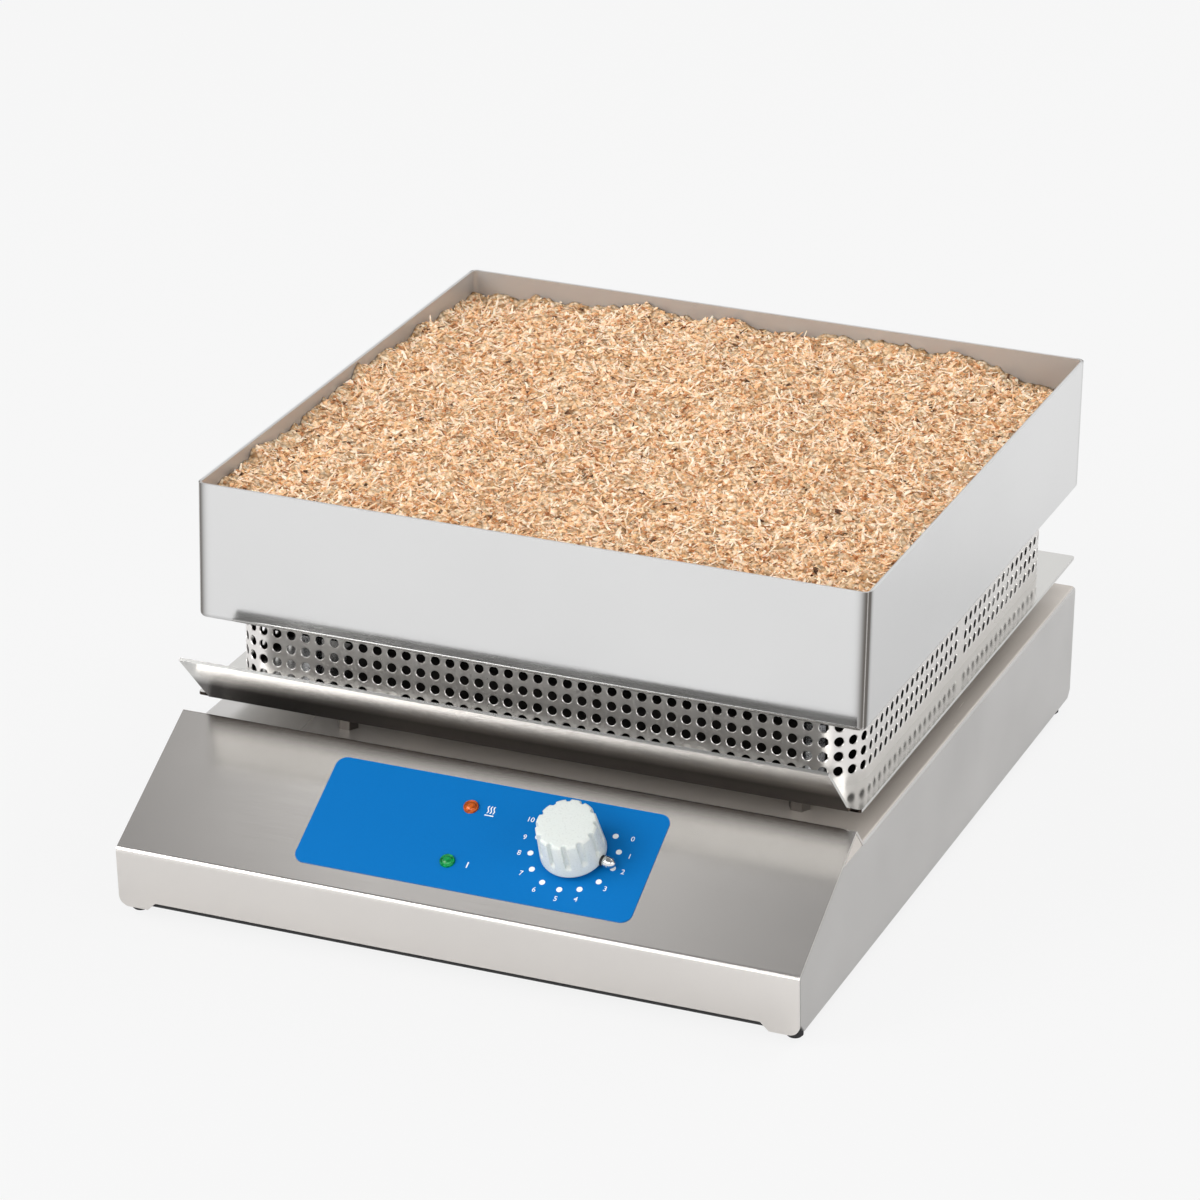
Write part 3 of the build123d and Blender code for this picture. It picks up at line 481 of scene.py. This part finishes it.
nodeFinishes = {
    "case_body": "caseSheet",
    "back_panel": "caseSheet",
    "front_panel": "panelSheet",
    "base_plate": "baseSheet",
    "rubber_feet": "rubber",
    "control_overlay": "overlay",
    "regulator_body": "blackPlastic",
    "regulator_nut": "plated",
    "regulator_spindle": "plated",
    "knob": "knobPlastic",
    "knob_pointer": "pointer",
    "heat_lamp_lens": "amber",
    "power_lamp_lens": "green",
    "lamp_holders": "blackPlastic",
    "spacers": "spacer",
    "spacer_bolts": "plated",
    "spacer_nuts": "plated",
    "heat_shield": "shieldSheet",
    "guard_band": "guardSheet",
    "guard_clips": "guardSheet",
    "insulation_board": "fibre",
    "heating_element": "darkSteel",
    "lead_sleeves": "ceramic",
    "element_clamps": "darkSteel",
    "clamp_screws": "plated",
    "limiter_bulb": "copper",
    "heating_plate": "castPlate",
    "plate_posts": "plated",
    "terminal_block": "ceramic",
    "cord_gland": "blackPlastic",
    "gland_nut": "blackPlastic",
    "sand_tray": "traySheet",
    "sand_fill": "fibre",
}

for nodeName, node in nodes.items():
    node.data.materials.clear()
    node.data.materials.append(finishes[nodeFinishes[nodeName]])
print("cad nodes finished")


def newPiece(name, points, faces, body, material, smooth=False):
    mesh = bpy.data.meshes.new(name)
    mesh.from_pydata(points, [], faces)
    mesh.validate()
    mesh.materials.append(material)
    if smooth:
        mesh.polygons.foreach_set("use_smooth", [True] * len(mesh.polygons))
    made = bpy.data.objects.new(name, mesh)
    bpy.context.scene.collection.objects.link(made)
    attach(made, body)
    return made


guard = {
    "sheet": 0.8 * mm,
    "cornerRadius": 22 * mm,
    "rows": 4,
    "firstRow": 7.1 * mm,
    "rowPitch": 7.09 * mm,
    "holeRadius": 2.25 * mm,
    "holeEdge": 0.3 * mm,  # burr rolled round each hole
    "columns": 161,
    "firstColumn": -127.4 * mm,
    "blankColumn": 59,  # the seam has no holes
    "holeSides": 16,
}


def guardPoint(along, inward, low, high, radius):
    # place on the band, measured round it from the middle of the front; inward is the depth below its
    # outer face
    flatX = (high.x - low.x) / 2 - radius
    flatY = (high.y - low.y) - 2 * radius
    bend = radius * math.pi / 2
    total = 4 * flatX + 2 * flatY + 4 * bend
    along %= total
    # each stretch: its length, where it starts, and the corner that ends it
    stretches = (
        (flatX, (0, low.y), (high.x - radius, low.y + radius)),
        (flatY, (high.x, low.y + radius), (high.x - radius, high.y - radius)),
        (2 * flatX, (high.x - radius, high.y), (low.x + radius, high.y - radius)),
        (flatY, (low.x, high.y - radius), (low.x + radius, low.y + radius)),
        (flatX, (low.x + radius, low.y), (0, 0)),
    )
    for quarter, (length, start, corner) in enumerate(stretches):
        angle = quarter * math.pi / 2
        if along <= length or quarter == 4:
            x = start[0] + along * math.cos(angle) - inward * math.sin(angle)
            y = start[1] + along * math.sin(angle) + inward * math.cos(angle)
            return (x, y)
        along -= length
        if along <= bend:
            turn = angle - math.pi / 2 + along / radius
            reach = radius - inward
            return (corner[0] + reach * math.cos(turn), corner[1] + reach * math.sin(turn))
        along -= bend


def makeGuard(g):
    # the band is a net of cells, each an outer and an inner face round one hole, welded where cells meet
    low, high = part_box("guard_band")
    radius = g["cornerRadius"]
    perimeter = 2 * (high.x - low.x) + 2 * (high.y - low.y) - 8 * radius + 2 * math.pi * radius
    width = perimeter / g["columns"]
    sides = g["holeSides"]
    quarter = sides // 4
    rowEdges = [0.0]
    rowEdges += [g["firstRow"] + (k - 0.5) * g["rowPitch"] for k in range(g["rows"] + 1)]
    rowEdges += [high.z - low.z]
    points, faces, insides, found = [], [], [], {}

    def point(along, up, depth):
        key = (round((along % perimeter) / perimeter * 4e6), round(up * 1e7), round(depth * 1e7))
        if key not in found:
            x, y = guardPoint(along, depth, low, high, radius)
            found[key] = len(points)
            points.append((x, y, low.z + up))
        return found[key]

    def ring(middle, size, depth):
        turns = [2 * math.pi * k / sides for k in range(sides)]
        return [point(middle[0] + size * math.cos(t), middle[1] + size * math.sin(t), depth) for t in turns]

    def addFace(face, inside):
        faces.append(face[::-1] if inside else face)
        insides.append(int(inside))

    def bridge(outer, inner, inside):
        for k in range(sides):
            addFace([outer[k], outer[(k + 1) % sides], inner[(k + 1) % sides], inner[k]], inside)

    def cellFrame(steps, ups):
        # the cell's outline, counted round from the middle of its right side
        places = [(steps[-1], up) for up in ups[quarter // 2 :]]
        places += [(step, ups[-1]) for step in steps[-2::-1]]
        places += [(steps[0], up) for up in ups[-2::-1]]
        places += [(step, ups[0]) for step in steps[1:]]
        places += [(steps[-1], up) for up in ups[1 : quarter // 2]]
        return places

    for column in range(g["columns"]):
        left = g["firstColumn"] + (column - 0.5) * width
        steps = [left + width * k / quarter for k in range(quarter + 1)]
        for row, (bottom, top) in enumerate(zip(rowEdges, rowEdges[1:])):
            holed = 1 <= row <= g["rows"] and column != g["blankColumn"]
            ups = [bottom + (top - bottom) * k / quarter for k in range(quarter + 1)]
            for depth in (0.0, g["sheet"]):
                inside = depth > 0
                if not holed:
                    outline = [point(step, bottom, depth) for step in steps]
                    outline += [point(step, top, depth) for step in steps[::-1]]
                    addFace(outline, inside)
                    continue
                middle = (left + width / 2, (bottom + top) / 2)
                outline = [point(*place, depth) for place in cellFrame(steps, ups)]
                edge = g["holeRadius"] + g["holeEdge"]
                bridge(outline, ring(middle, edge, depth), inside)
                if not inside:
                    rolled = ring(middle, g["holeRadius"], g["holeEdge"])
                    bridge(ring(middle, edge, 0.0), rolled, False)
                    bridge(rolled, ring(middle, edge, g["sheet"]), False)
        for up, flip in ((0.0, True), (high.z - low.z, False)):
            for a, b in zip(steps, steps[1:]):
                ends = ((a, 0.0), (b, 0.0), (b, g["sheet"]), (a, g["sheet"]))
                addFace([point(along, up, depth) for along, depth in ends], flip)
                insides[-1] = 0
    sheet = finishes["guardSheet"]
    band = newPiece("guardPerforated", points, faces, "base", sheet, smooth=True)
    # the inner faces take the dark finish: painted shade inside the holes
    band.data.materials.append(finishes["guardInside"])
    band.data.polygons.foreach_set("material_index", insides)
    band.data.set_sharp_from_angle(angle=math.radians(30))
    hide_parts("guard_band")
    return len(faces)


print("guard faces", makeGuard(guard))


fill = {
    "seed": 11,
    "gridStep": 1.5 * mm,
    "lumpSize": 14 * mm,
    "lumpHeight": 4.0 * mm,
    "moundSize": 42 * mm,
    "moundHeight": 4.0 * mm,
    "crumbSize": 4.0 * mm,
    "crumbHeight": 1.3 * mm,
    "sink": 0.8 * mm,
    "bank": 3.0 * mm,  # how much higher the loose chips lie against the walls
    "bankWidth": 26 * mm,
    "wallGap": 5 * mm,  # the relief is read no nearer to a wall than this
    "chips": 20000,
    "fibres": 9000,
    "topGap": 0.2 * mm,
    # hollows: x, y, radius, depth
    "hollows": (
        (146 * mm, 190 * mm, 24 * mm, 12 * mm),
        (-146 * mm, 190 * mm, 22 * mm, 5 * mm),
        (-60 * mm, -118 * mm, 22 * mm, 3 * mm),
    ),
    "chipScales": (0.9, 1.1, 1.2, 1.4, 1.7, 2.2),
    "fibreLengths": (3.5, 4.5, 6.0, 8.0, 12.0),  # in mm, drawn with equal chances
    "tornSize": 2.4 * mm,
    "grainSize": 1.9 * mm,
    # name, light, dark (the dark tone is also painted in the hollows as shade), share among chips, share
    # among fibres
    "tones": (
        ("softwood chip, pale", "#FFF0DA", "#EAC094", 0.25, 0.62),
        ("softwood chip, straw", "#FFE0BE", "#DFAE7A", 0.34, 0.24),
        ("softwood chip, tan", "#F4C99C", "#CC9460", 0.26, 0.1),
        ("softwood chip, brown", "#D29A6C", "#94603A", 0.13, 0.037),
        ("bark crumb, dark", "#6E4E38", "#3E2C20", 0.02, 0.003),
    ),
    "bedTones": ((0.0, "#C99A6A"), (1.0, "#FAE3C4"), (0.45, "#E9C49A")),
}


def chipMaterial(name, light, dark, tornSize):
    # Softwood chips: matt, their tone varying along the torn grain, with the darker tone painted into the
    # hollows of the bump as shade
    made, tree = newMaterial(name)
    place = addNode(tree, "ShaderNodeTexCoord").outputs["Object"]
    torn = addNode(tree, "ShaderNodeTexNoise", {"Vector": place, "Scale": 1 / tornSize, "Detail": 4.0})
    ramp = addNode(tree, "ShaderNodeValToRGB", {"Fac": torn.outputs[0]})
    ramp.color_ramp.elements[0].position = 0.33
    ramp.color_ramp.elements[0].color = linearColour(dark)
    ramp.color_ramp.elements[1].position = 0.58
    ramp.color_ramp.elements[1].color = linearColour(light)
    relief = {"Strength": 0.5, "Distance": 0.3 * mm, "Height": torn.outputs[0]}
    bump = addNode(tree, "ShaderNodeBump", relief)
    body = addNode(
        tree,
        "ShaderNodeBsdfPrincipled",
        {
            "Base Color": ramp.outputs[0],
            "Roughness": 0.85,
            "Specular IOR Level": 0.25,
            "Normal": bump.outputs[0],
            "Subsurface Weight": 0.12,
            "Subsurface Scale": 0.6 * mm,
        },
    )
    finishMaterial(tree, body.outputs[0])
    return made


def bedMaterial(f):
    # The crumbs between the chips: grains of about 2 mm in tans, with painted shade darkening the gaps
    # between them
    made, tree = newMaterial("wood chips, bed of crumbs")
    place = addNode(tree, "ShaderNodeTexCoord").outputs["Object"]
    grains = addNode(tree, "ShaderNodeTexVoronoi", {"Vector": place, "Scale": 1 / f["grainSize"]})
    tone = addNode(tree, "ShaderNodeSeparateColor", {"Color": grains.outputs["Color"]})
    ramp = addNode(tree, "ShaderNodeValToRGB", {"Fac": tone.outputs[0]})
    stops = ramp.color_ramp.elements
    for k, (share, shade) in enumerate(f["bedTones"]):
        stop = stops[k] if k < 2 else stops.new(share)
        stop.color = linearColour(shade)
    between = {0: grains.outputs["Distance"], 1: 0.3, 2: 0.8, 3: 1.0, 4: 0.5}
    gapShade = addNode(tree, "ShaderNodeMapRange", between).outputs[0]
    colour = addNode(
        tree,
        "ShaderNodeMix",
        {0: 1.0, 6: ramp.outputs[0], 7: gapShade},
        data_type="RGBA",
        blend_type="MULTIPLY",
    )
    bump = addNode(tree, "ShaderNodeBump", {"Strength": 0.8, "Distance": 0.8 * mm, "Height": gapShade})
    body = addNode(
        tree,
        "ShaderNodeBsdfPrincipled",
        {
            "Base Color": colour.outputs[2],
            "Roughness": 0.9,
            "Specular IOR Level": 0.2,
            "Normal": bump.outputs[0],
        },
    )
    finishMaterial(tree, body.outputs[0])
    return made


def fillSurface(f, rim):
    # height of the loose surface over a place: the relief of the CAD solid, with mounds, lumps and
    # crumbs on it
    mesh = nodes["sand_fill"].data
    solid = BVHTree.FromPolygons([v.co for v in mesh.vertices], [p.vertices for p in mesh.polygons])
    low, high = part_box("sand_fill")

    def height(x, y):
        inX = min(max(x, low.x + f["wallGap"]), high.x - f["wallGap"])
        inY = min(max(y, low.y + f["wallGap"]), high.y - f["wallGap"])
        hit = solid.ray_cast(Vector((inX, inY, 1)), Vector((0, 0, -1)))[0]
        base = (hit.z if hit else high.z) - f["sink"]
        inset = min(x - low.x, high.x - x, y - low.y, high.y - y)
        base += f["bank"] * max(0.0, 1 - inset / f["bankWidth"]) ** 2
        for holeX, holeY, radius, depth in f["hollows"]:
            base -= depth * math.exp(-((x - holeX) ** 2 + (y - holeY) ** 2) / radius**2)
        mound = noise.noise(Vector((x, y, 2.7)) / f["moundSize"]) * f["moundHeight"]
        lump = noise.fractal(Vector((x, y, 0.3)) / f["lumpSize"], 0.9, 2.1, 3) * f["lumpHeight"]
        crumb = noise.noise(Vector((x, y, 9.1)) / f["crumbSize"]) * f["crumbHeight"]
        return min(base + mound + lump + crumb, rim - f["topGap"])

    return height


def makeBed(f, height):
    low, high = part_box("sand_fill")
    stepsX = round((high.x - low.x) / f["gridStep"])
    stepsY = round((high.y - low.y) / f["gridStep"])
    row = stepsX + 1
    points, faces = [], []
    for j in range(stepsY + 1):
        for i in range(row):
            x = low.x + (high.x - low.x) * i / stepsX
            y = low.y + (high.y - low.y) * j / stepsY
            points.append((x, y, height(x, y)))
    for j in range(stepsY):
        for i in range(stepsX):
            faces.append((j * row + i, j * row + i + 1, (j + 1) * row + i + 1, (j + 1) * row + i))
    around = list(range(row)) + [j * row + stepsX for j in range(1, stepsY + 1)]
    around += [stepsY * row + i for i in range(stepsX - 1, -1, -1)]
    around += [j * row for j in range(stepsY - 1, 0, -1)]
    under = len(points)
    points += [(points[i][0], points[i][1], low.z) for i in around]
    for k in range(len(around)):
        n = (k + 1) % len(around)
        faces.append((around[n], around[k], under + k, under + n))
    faces.append([under + k for k in range(len(around) - 1, -1, -1)])
    bed = newPiece("fillBed", points, faces, "tray", bedMaterial(f), smooth=True)
    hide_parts("sand_fill")


def chipShape(f, rng):
    # a torn crumb: a lumpy octahedron, flatter than it is wide
    scale = rng.choice(f["chipScales"]) * mm / 2
    size = (rng.uniform(1.5, 2.6) * scale, rng.uniform(1.0, 1.9) * scale, rng.uniform(0.5, 1.2) * scale)
    corners = []
    for corner in ((1, 0, 0), (0, 1, 0), (-1, 0, 0), (0, -1, 0), (0, 0, 1), (0, 0, -1)):
        torn = [c * rng.uniform(0.75, 1.2) + rng.uniform(-0.25, 0.25) for c in corner]
        corners.append([c * extent for c, extent in zip(torn, size)])
    faces = ((0, 1, 4), (1, 2, 4), (2, 3, 4), (3, 0, 4), (1, 0, 5), (2, 1, 5), (3, 2, 5), (0, 3, 5))
    return corners, faces, rng.uniform(-0.7, 0.7)


def fibreShape(f, rng):
    # a shaving: a thin strip of four-sided section, curled along its length and narrower at both ends
    length = rng.choice(f["fibreLengths"]) * rng.uniform(0.8, 1.2) * mm
    width = rng.uniform(0.7, 1.8) * mm / 2
    thick = rng.uniform(0.3, 0.6) * mm / 2
    curl = rng.uniform(-0.3, 1.3)
    sway = rng.uniform(-0.9, 0.9)
    rings = 5
    corners, faces = [], []
    for k in range(rings):
        t = k / (rings - 1) - 0.5
        taper = 1 - 1.5 * abs(t) ** 2
        along = t * length
        bow = t * t - 0.08
        lift = curl * length * bow
        aside = sway * length * bow
        for across, up in ((-1, 0), (0, 1), (1, 0), (0, -1)):
            corners.append((along, aside + across * width * taper, lift + up * thick * taper))
    for k in range(rings - 1):
        for m in range(4):
            n = (m + 1) % 4
            faces.append((4 * k + n, 4 * k + m, 4 * k + 4 + m, 4 * k + 4 + n))
    faces.append((0, 1, 2, 3))
    faces.append(tuple(4 * rings - 4 + m for m in (3, 2, 1, 0)))
    return corners, faces, rng.uniform(-0.35, 0.35)


def makeChips(f, height, rim):
    rng = random.Random(f["seed"])
    low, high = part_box("sand_fill")
    tones = f["tones"]
    points, faces, shades = [], [], []
    for k in range(f["chips"] + f["fibres"]):
        fibre = k >= f["chips"]
        corners, sides, tilt = fibreShape(f, rng) if fibre else chipShape(f, rng)
        reach = max(math.hypot(c[0], c[1]) for c in corners) + 0.3 * mm
        x = rng.uniform(low.x + reach, high.x - reach)
        y = rng.uniform(low.y + reach, high.y - reach)
        z = height(x, y) + rng.uniform(-0.2, 0.8) * mm
        turn = Matrix.Rotation(rng.uniform(0, 2 * math.pi), 3, "Z") @ Matrix.Rotation(tilt, 3, "Y")
        turn @= Matrix.Rotation(rng.uniform(-0.6, 0.6), 3, "X")
        placed = [turn @ Vector(c) for c in corners]
        z = min(z, rim - f["topGap"] - max(c.z for c in placed))
        start = len(points)
        points += [(x + c.x, y + c.y, z + c.z) for c in placed]
        faces += [tuple(start + m for m in side) for side in sides]
        pick = rng.random()
        tone = 0
        while pick > tones[tone][4 if fibre else 3] and tone < len(tones) - 1:
            pick -= tones[tone][4 if fibre else 3]
            tone += 1
        shades += [tone] * len(sides)
    woods = [chipMaterial(*tone[:3], f["tornSize"]) for tone in tones]
    chips = newPiece("fillChips", points, faces, "tray", woods[0])
    for wood in woods[1:]:
        chips.data.materials.append(wood)
    chips.data.polygons.foreach_set("material_index", shades)
    return len(faces)


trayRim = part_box("sand_tray")[1].z
fillHeight = fillSurface(fill, trayRim)
makeBed(fill, fillHeight)
print("fill faces", makeChips(fill, fillHeight, trayRim))


panel = {
    "ridge": (0, -130.3 * mm, 73.4 * mm),
    "run": 71.0,
    "rise": 39.4,
    "film": 0.5 * mm,
    "dialX": 43.9 * mm,
    "dialDown": 39.4 * mm,
    "lampX": -10.5 * mm,
    "heatDown": 25 * mm,
    "powerDown": 55.5 * mm,
    "signFromLamp": 9.5 * mm,
    "dotCircle": 19.8 * mm,
    "dotRadius": 1.35 * mm,
    "figureCircle": 24.9 * mm,
    "figureHeight": 2.6 * mm,
    "figureCapShare": 0.72,  # height of a figure in a font of size 1
    "firstAngle": 48.3,
    "angleStep": 26.35,
    # figures that stand a little off their dots: turned from the top of the dial, and how far out
    "movedFigures": {
        0: (60, 26.4 * mm),
        1: (81, 24.9 * mm),
        4: (159, 24.9 * mm),
        9: (279, 25.2 * mm),
        10: (298, 29 * mm),
    },
    "ink": 0.06 * mm,
}


def panelFrame(p, across, down):
    # matrix of a place on the sloped overlay: x to the right, y up the slope, z out of it
    length = math.hypot(p["run"], p["rise"])
    c, s = p["run"] / length, p["rise"] / length
    y = p["ridge"][1] - down * c - p["film"] * s
    z = p["ridge"][2] - down * s + p["film"] * c
    return Matrix(((1, 0, 0, across), (0, c, -s, y), (0, s, c, z), (0, 0, 0, 1)))


def inkShape(name, outlines, place, p):
    # printed shapes with a thickness of ink, from closed outlines in the panel's own plane
    points, faces = [], []
    for outline in outlines:
        count = len(outline)
        start = len(points)
        for height in (0.0, p["ink"]):
            points += [tuple(place @ Vector((x, y, height))) for x, y in outline]
        faces.append([start + count + k for k in range(count)])
        faces.append([start + k for k in range(count - 1, -1, -1)])
        for k in range(count):
            n = (k + 1) % count
            faces.append((start + k, start + n, start + count + n, start + count + k))
    return newPiece(name, points, faces, "base", finishes["ink"])


def disc(x, y, radius, sides=24):
    turns = [2 * math.pi * k / sides for k in range(sides)]
    return [(x + radius * math.cos(t), y + radius * math.sin(t)) for t in turns]


def wavyLine(x, bottom, top, width, swing):
    rows = 14
    left, right = [], []
    for k in range(rows + 1):
        y = bottom + (top - bottom) * k / rows
        shift = swing * math.sin(2 * math.pi * k / rows)
        left.append((x + shift - width / 2, y))
        right.append((x + shift + width / 2, y))
    return right + left[::-1]


def bar(x, y, width, height):
    signs = ((-1, -1), (1, -1), (1, 1), (-1, 1))
    return [(x + across * width / 2, y + up * height / 2) for across, up in signs]


def turnedPiece(name, profile, place, body, material, sides, ripple=None):
    # a form turned about the z axis of its place, closed at both ends; ripple(angle, ring) scales each
    # radius
    points, faces = [], []
    for ring, (radius, height) in enumerate(profile):
        for k in range(sides):
            turn = 2 * math.pi * k / sides
            reach = radius * (ripple(turn, ring) if ripple else 1)
            points.append(tuple(place @ Vector((reach * math.cos(turn), reach * math.sin(turn), height))))
    for ring in range(len(profile) - 1):
        for k in range(sides):
            n = (k + 1) % sides
            below, above = ring * sides, (ring + 1) * sides
            faces.append((below + k, below + n, above + n, above + k))
    faces.append(tuple(range(sides - 1, -1, -1)))
    faces.append(tuple(len(points) - sides + k for k in range(sides)))
    made = newPiece(name, points, faces, body, material, smooth=True)
    made.data.set_sharp_from_angle(angle=math.radians(50))
    return made


dialKnob = {
    "footRadius": 15.0 * mm,
    "topRadius": 13.6 * mm,
    "height": 20.2 * mm,
    "gapShade": 2.5 * mm,
    "rimRadius": 1.3 * mm,
    "crown": 0.35 * mm,
    "grips": 12,
    "gripDepth": 1.5 * mm,
    "gripShare": 0.34,  # width of a groove over the distance between grooves
    "gripFoot": 5.2 * mm,
    "gripRise": 1.2 * mm,  # height over which a groove deepens, from its foot
    "footEdge": 0.3 * mm,
    "bore": 4 * mm,
    "hollowTop": 11.5 * mm,
    "hollowFoot": 11.8 * mm,
    "hollowDepth": 3 * mm,
    "sides": 160,
    "pointerAngle": 100.8,
    "pointerRadius": 2.9 * mm,
    "pointerFrom": 12.6 * mm,
    "pointerTo": 21.6 * mm,
    "pointerLift": 3.2 * mm,
    # share of the pointer's radius, share of its length
    "pinFoot": ((0.7, 0.0), (0.7, 0.35), (0.95, 0.4), (1.0, 0.5)),
    "bossShares": (0.4, 0.86, 0.6),  # of the pointer's radius: back, side and front
    "bossBack": -0.5 * mm,
    "bossLength": 0.38,  # of the pointer's length
}


def makeKnob(k, p):
    place = panelFrame(p, p["dialX"], p["dialDown"])
    taper = (k["footRadius"] - k["topRadius"]) / k["height"]
    foot, top = k["gapShade"], k["gapShade"] + k["height"]
    # from the roof of the hollow underside, down to the foot, up the side and over the top
    roof = foot + k["hollowDepth"]
    profile = [(k["bore"], roof), (k["hollowTop"], roof), (k["hollowFoot"], foot)]
    profile.append((k["footRadius"] - k["footEdge"], foot))
    cuts = [0.0] * len(profile)
    steps = 22
    for n in range(steps + 1):
        up = k["footEdge"] + (k["height"] - k["rimRadius"] - k["footEdge"]) * n / steps
        profile.append((k["footRadius"] - taper * up, foot + up))
        cuts.append(min(1.0, max(0.0, (up - k["gripFoot"]) / k["gripRise"])))
    rimCentre = profile[-1][0] - k["rimRadius"]
    for n in range(1, 6):
        turn = math.pi / 2 * n / 5
        height = top - k["rimRadius"] * (1 - math.sin(turn)) - k["crown"]
        profile.append((rimCentre + k["rimRadius"] * math.cos(turn), height))
        cuts.append(1.0 - 0.08 * n)
    for n in range(1, 6):
        share = n / 5
        profile.append((rimCentre * (1 - 0.96 * share), top - k["crown"] * (1 - share) ** 2))
        cuts.append(0.0)

    def ripple(turn, ring):
        # a rounded groove at each grip, shallower towards the crown
        phase = (turn * k["grips"] / (2 * math.pi)) % 1 - 0.5
        across = abs(phase) / (k["gripShare"] / 2)
        groove = math.sqrt(1 - across * across) if across < 1 else 0.0
        return 1 - cuts[ring] * k["gripDepth"] * min(1.0, 1.4 * groove) / k["footRadius"]

    plastic = finishes["knobPlastic"]
    knob = turnedPiece("knobRibbed", profile, place, "dial", plastic, k["sides"], ripple)
    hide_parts("knob")

    way = math.radians(90 - k["pointerAngle"])
    outward = Vector((math.cos(way), math.sin(way), 0))
    side = Vector((-math.sin(way), math.cos(way), 0))
    base = outward * k["pointerFrom"] + Vector((0, 0, k["pointerLift"]))
    axes = Matrix([(side[m], (0, 0, 1)[m], outward[m], base[m]) for m in range(3)] + [(0, 0, 0, 1)])
    length = k["pointerTo"] - k["pointerFrom"]
    radius = k["pointerRadius"]
    pin = [(radius * across, length * along) for across, along in k["pinFoot"]]
    for n in range(1, 8):
        turn = math.pi / 2 * n / 7.4
        pin.append((radius * math.cos(turn), length * 0.5 + length * 0.5 * math.sin(turn)))
    pointer = turnedPiece("pointerPin", pin, place @ axes, "dial", finishes["pointer"], 32)
    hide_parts("knob_pointer")
    # a short black boss round the root of the pin: a dark piece put there as painted shade
    back, front = k["bossBack"], length * k["bossLength"]
    atBack, atSide, atFront = (radius * share for share in k["bossShares"])
    boss = [(atBack, back), (atSide, back), (atSide, front), (atFront, front)]
    turnedPiece("pointerShadeBoss", boss, place @ axes, "dial", finishes["blackPlastic"], 32)


lampShape = {
    # radius and height in mm, from the foot of the ring to the middle of the dome
    "ring": ((3.4, -0.6), (3.4, 0.9), (3.2, 1.15), (2.9, 1.15), (2.7, 0.8), (2.6, 0.75)),
    "dome": ((2.4, 1.0), (1.9, 1.4), (1.2, 1.7), (0.5, 1.8), (0.1, 1.82)),
    "sides": 40,
}


def makeLens(name, node, down, material, p):
    # a domed lens inside its own moulded ring
    place = panelFrame(p, p["lampX"], down)
    profile = [(radius * mm, height * mm) for radius, height in lampShape["ring"] + lampShape["dome"]]
    lens = turnedPiece(name, profile, place, "base", material, lampShape["sides"])
    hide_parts(node)


def makeScale(p):
    place = panelFrame(p, p["dialX"], p["dialDown"])
    dots = []
    for k in range(11):
        angle = math.radians(90 - p["firstAngle"] - k * p["angleStep"])
        x, y = p["dotCircle"] * math.cos(angle), p["dotCircle"] * math.sin(angle)
        dots.append(disc(x, y, p["dotRadius"]))
        figure = bpy.data.curves.new(f"dialFigure{k}", "FONT")
        figure.body = str(k)
        figure.size = p["figureHeight"] / p["figureCapShare"]
        figure.extrude = p["ink"]
        figure.align_x = "CENTER"
        figure.align_y = "CENTER"
        figure.materials.append(finishes["ink"])
        made = bpy.data.objects.new(f"dialFigure{k}", figure)
        usual = (p["firstAngle"] + k * p["angleStep"], p["figureCircle"])
        turned, reach = p["movedFigures"].get(k, usual)
        at = math.radians(90 - turned)
        made.matrix_world = place @ Matrix.Translation((reach * math.cos(at), reach * math.sin(at), 0))
        bpy.context.scene.collection.objects.link(made)
        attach(made, "base")
    inkShape("dialDots", dots, place, p)
    waves = [wavyLine(x * mm, -1.6 * mm, 2.4 * mm, 0.5 * mm, 0.35 * mm) for x in (-1.4, 0, 1.4)]
    waves.append(bar(0, -2.7 * mm, 4.2 * mm, 0.5 * mm))
    inkShape("heatSign", waves, panelFrame(p, p["lampX"] + p["signFromLamp"], p["heatDown"]), p)
    upright = [bar(0, 0, 0.6 * mm, 3.2 * mm)]
    inkShape("powerSign", upright, panelFrame(p, p["lampX"] + p["signFromLamp"], p["powerDown"]), p)


makeScale(panel)
makeKnob(dialKnob, panel)
makeLens("lensAmber", "heat_lamp_lens", panel["heatDown"], finishes["amber"], panel)
makeLens("lensGreen", "power_lamp_lens", panel["powerDown"], finishes["green"], panel)
print("dial printed")
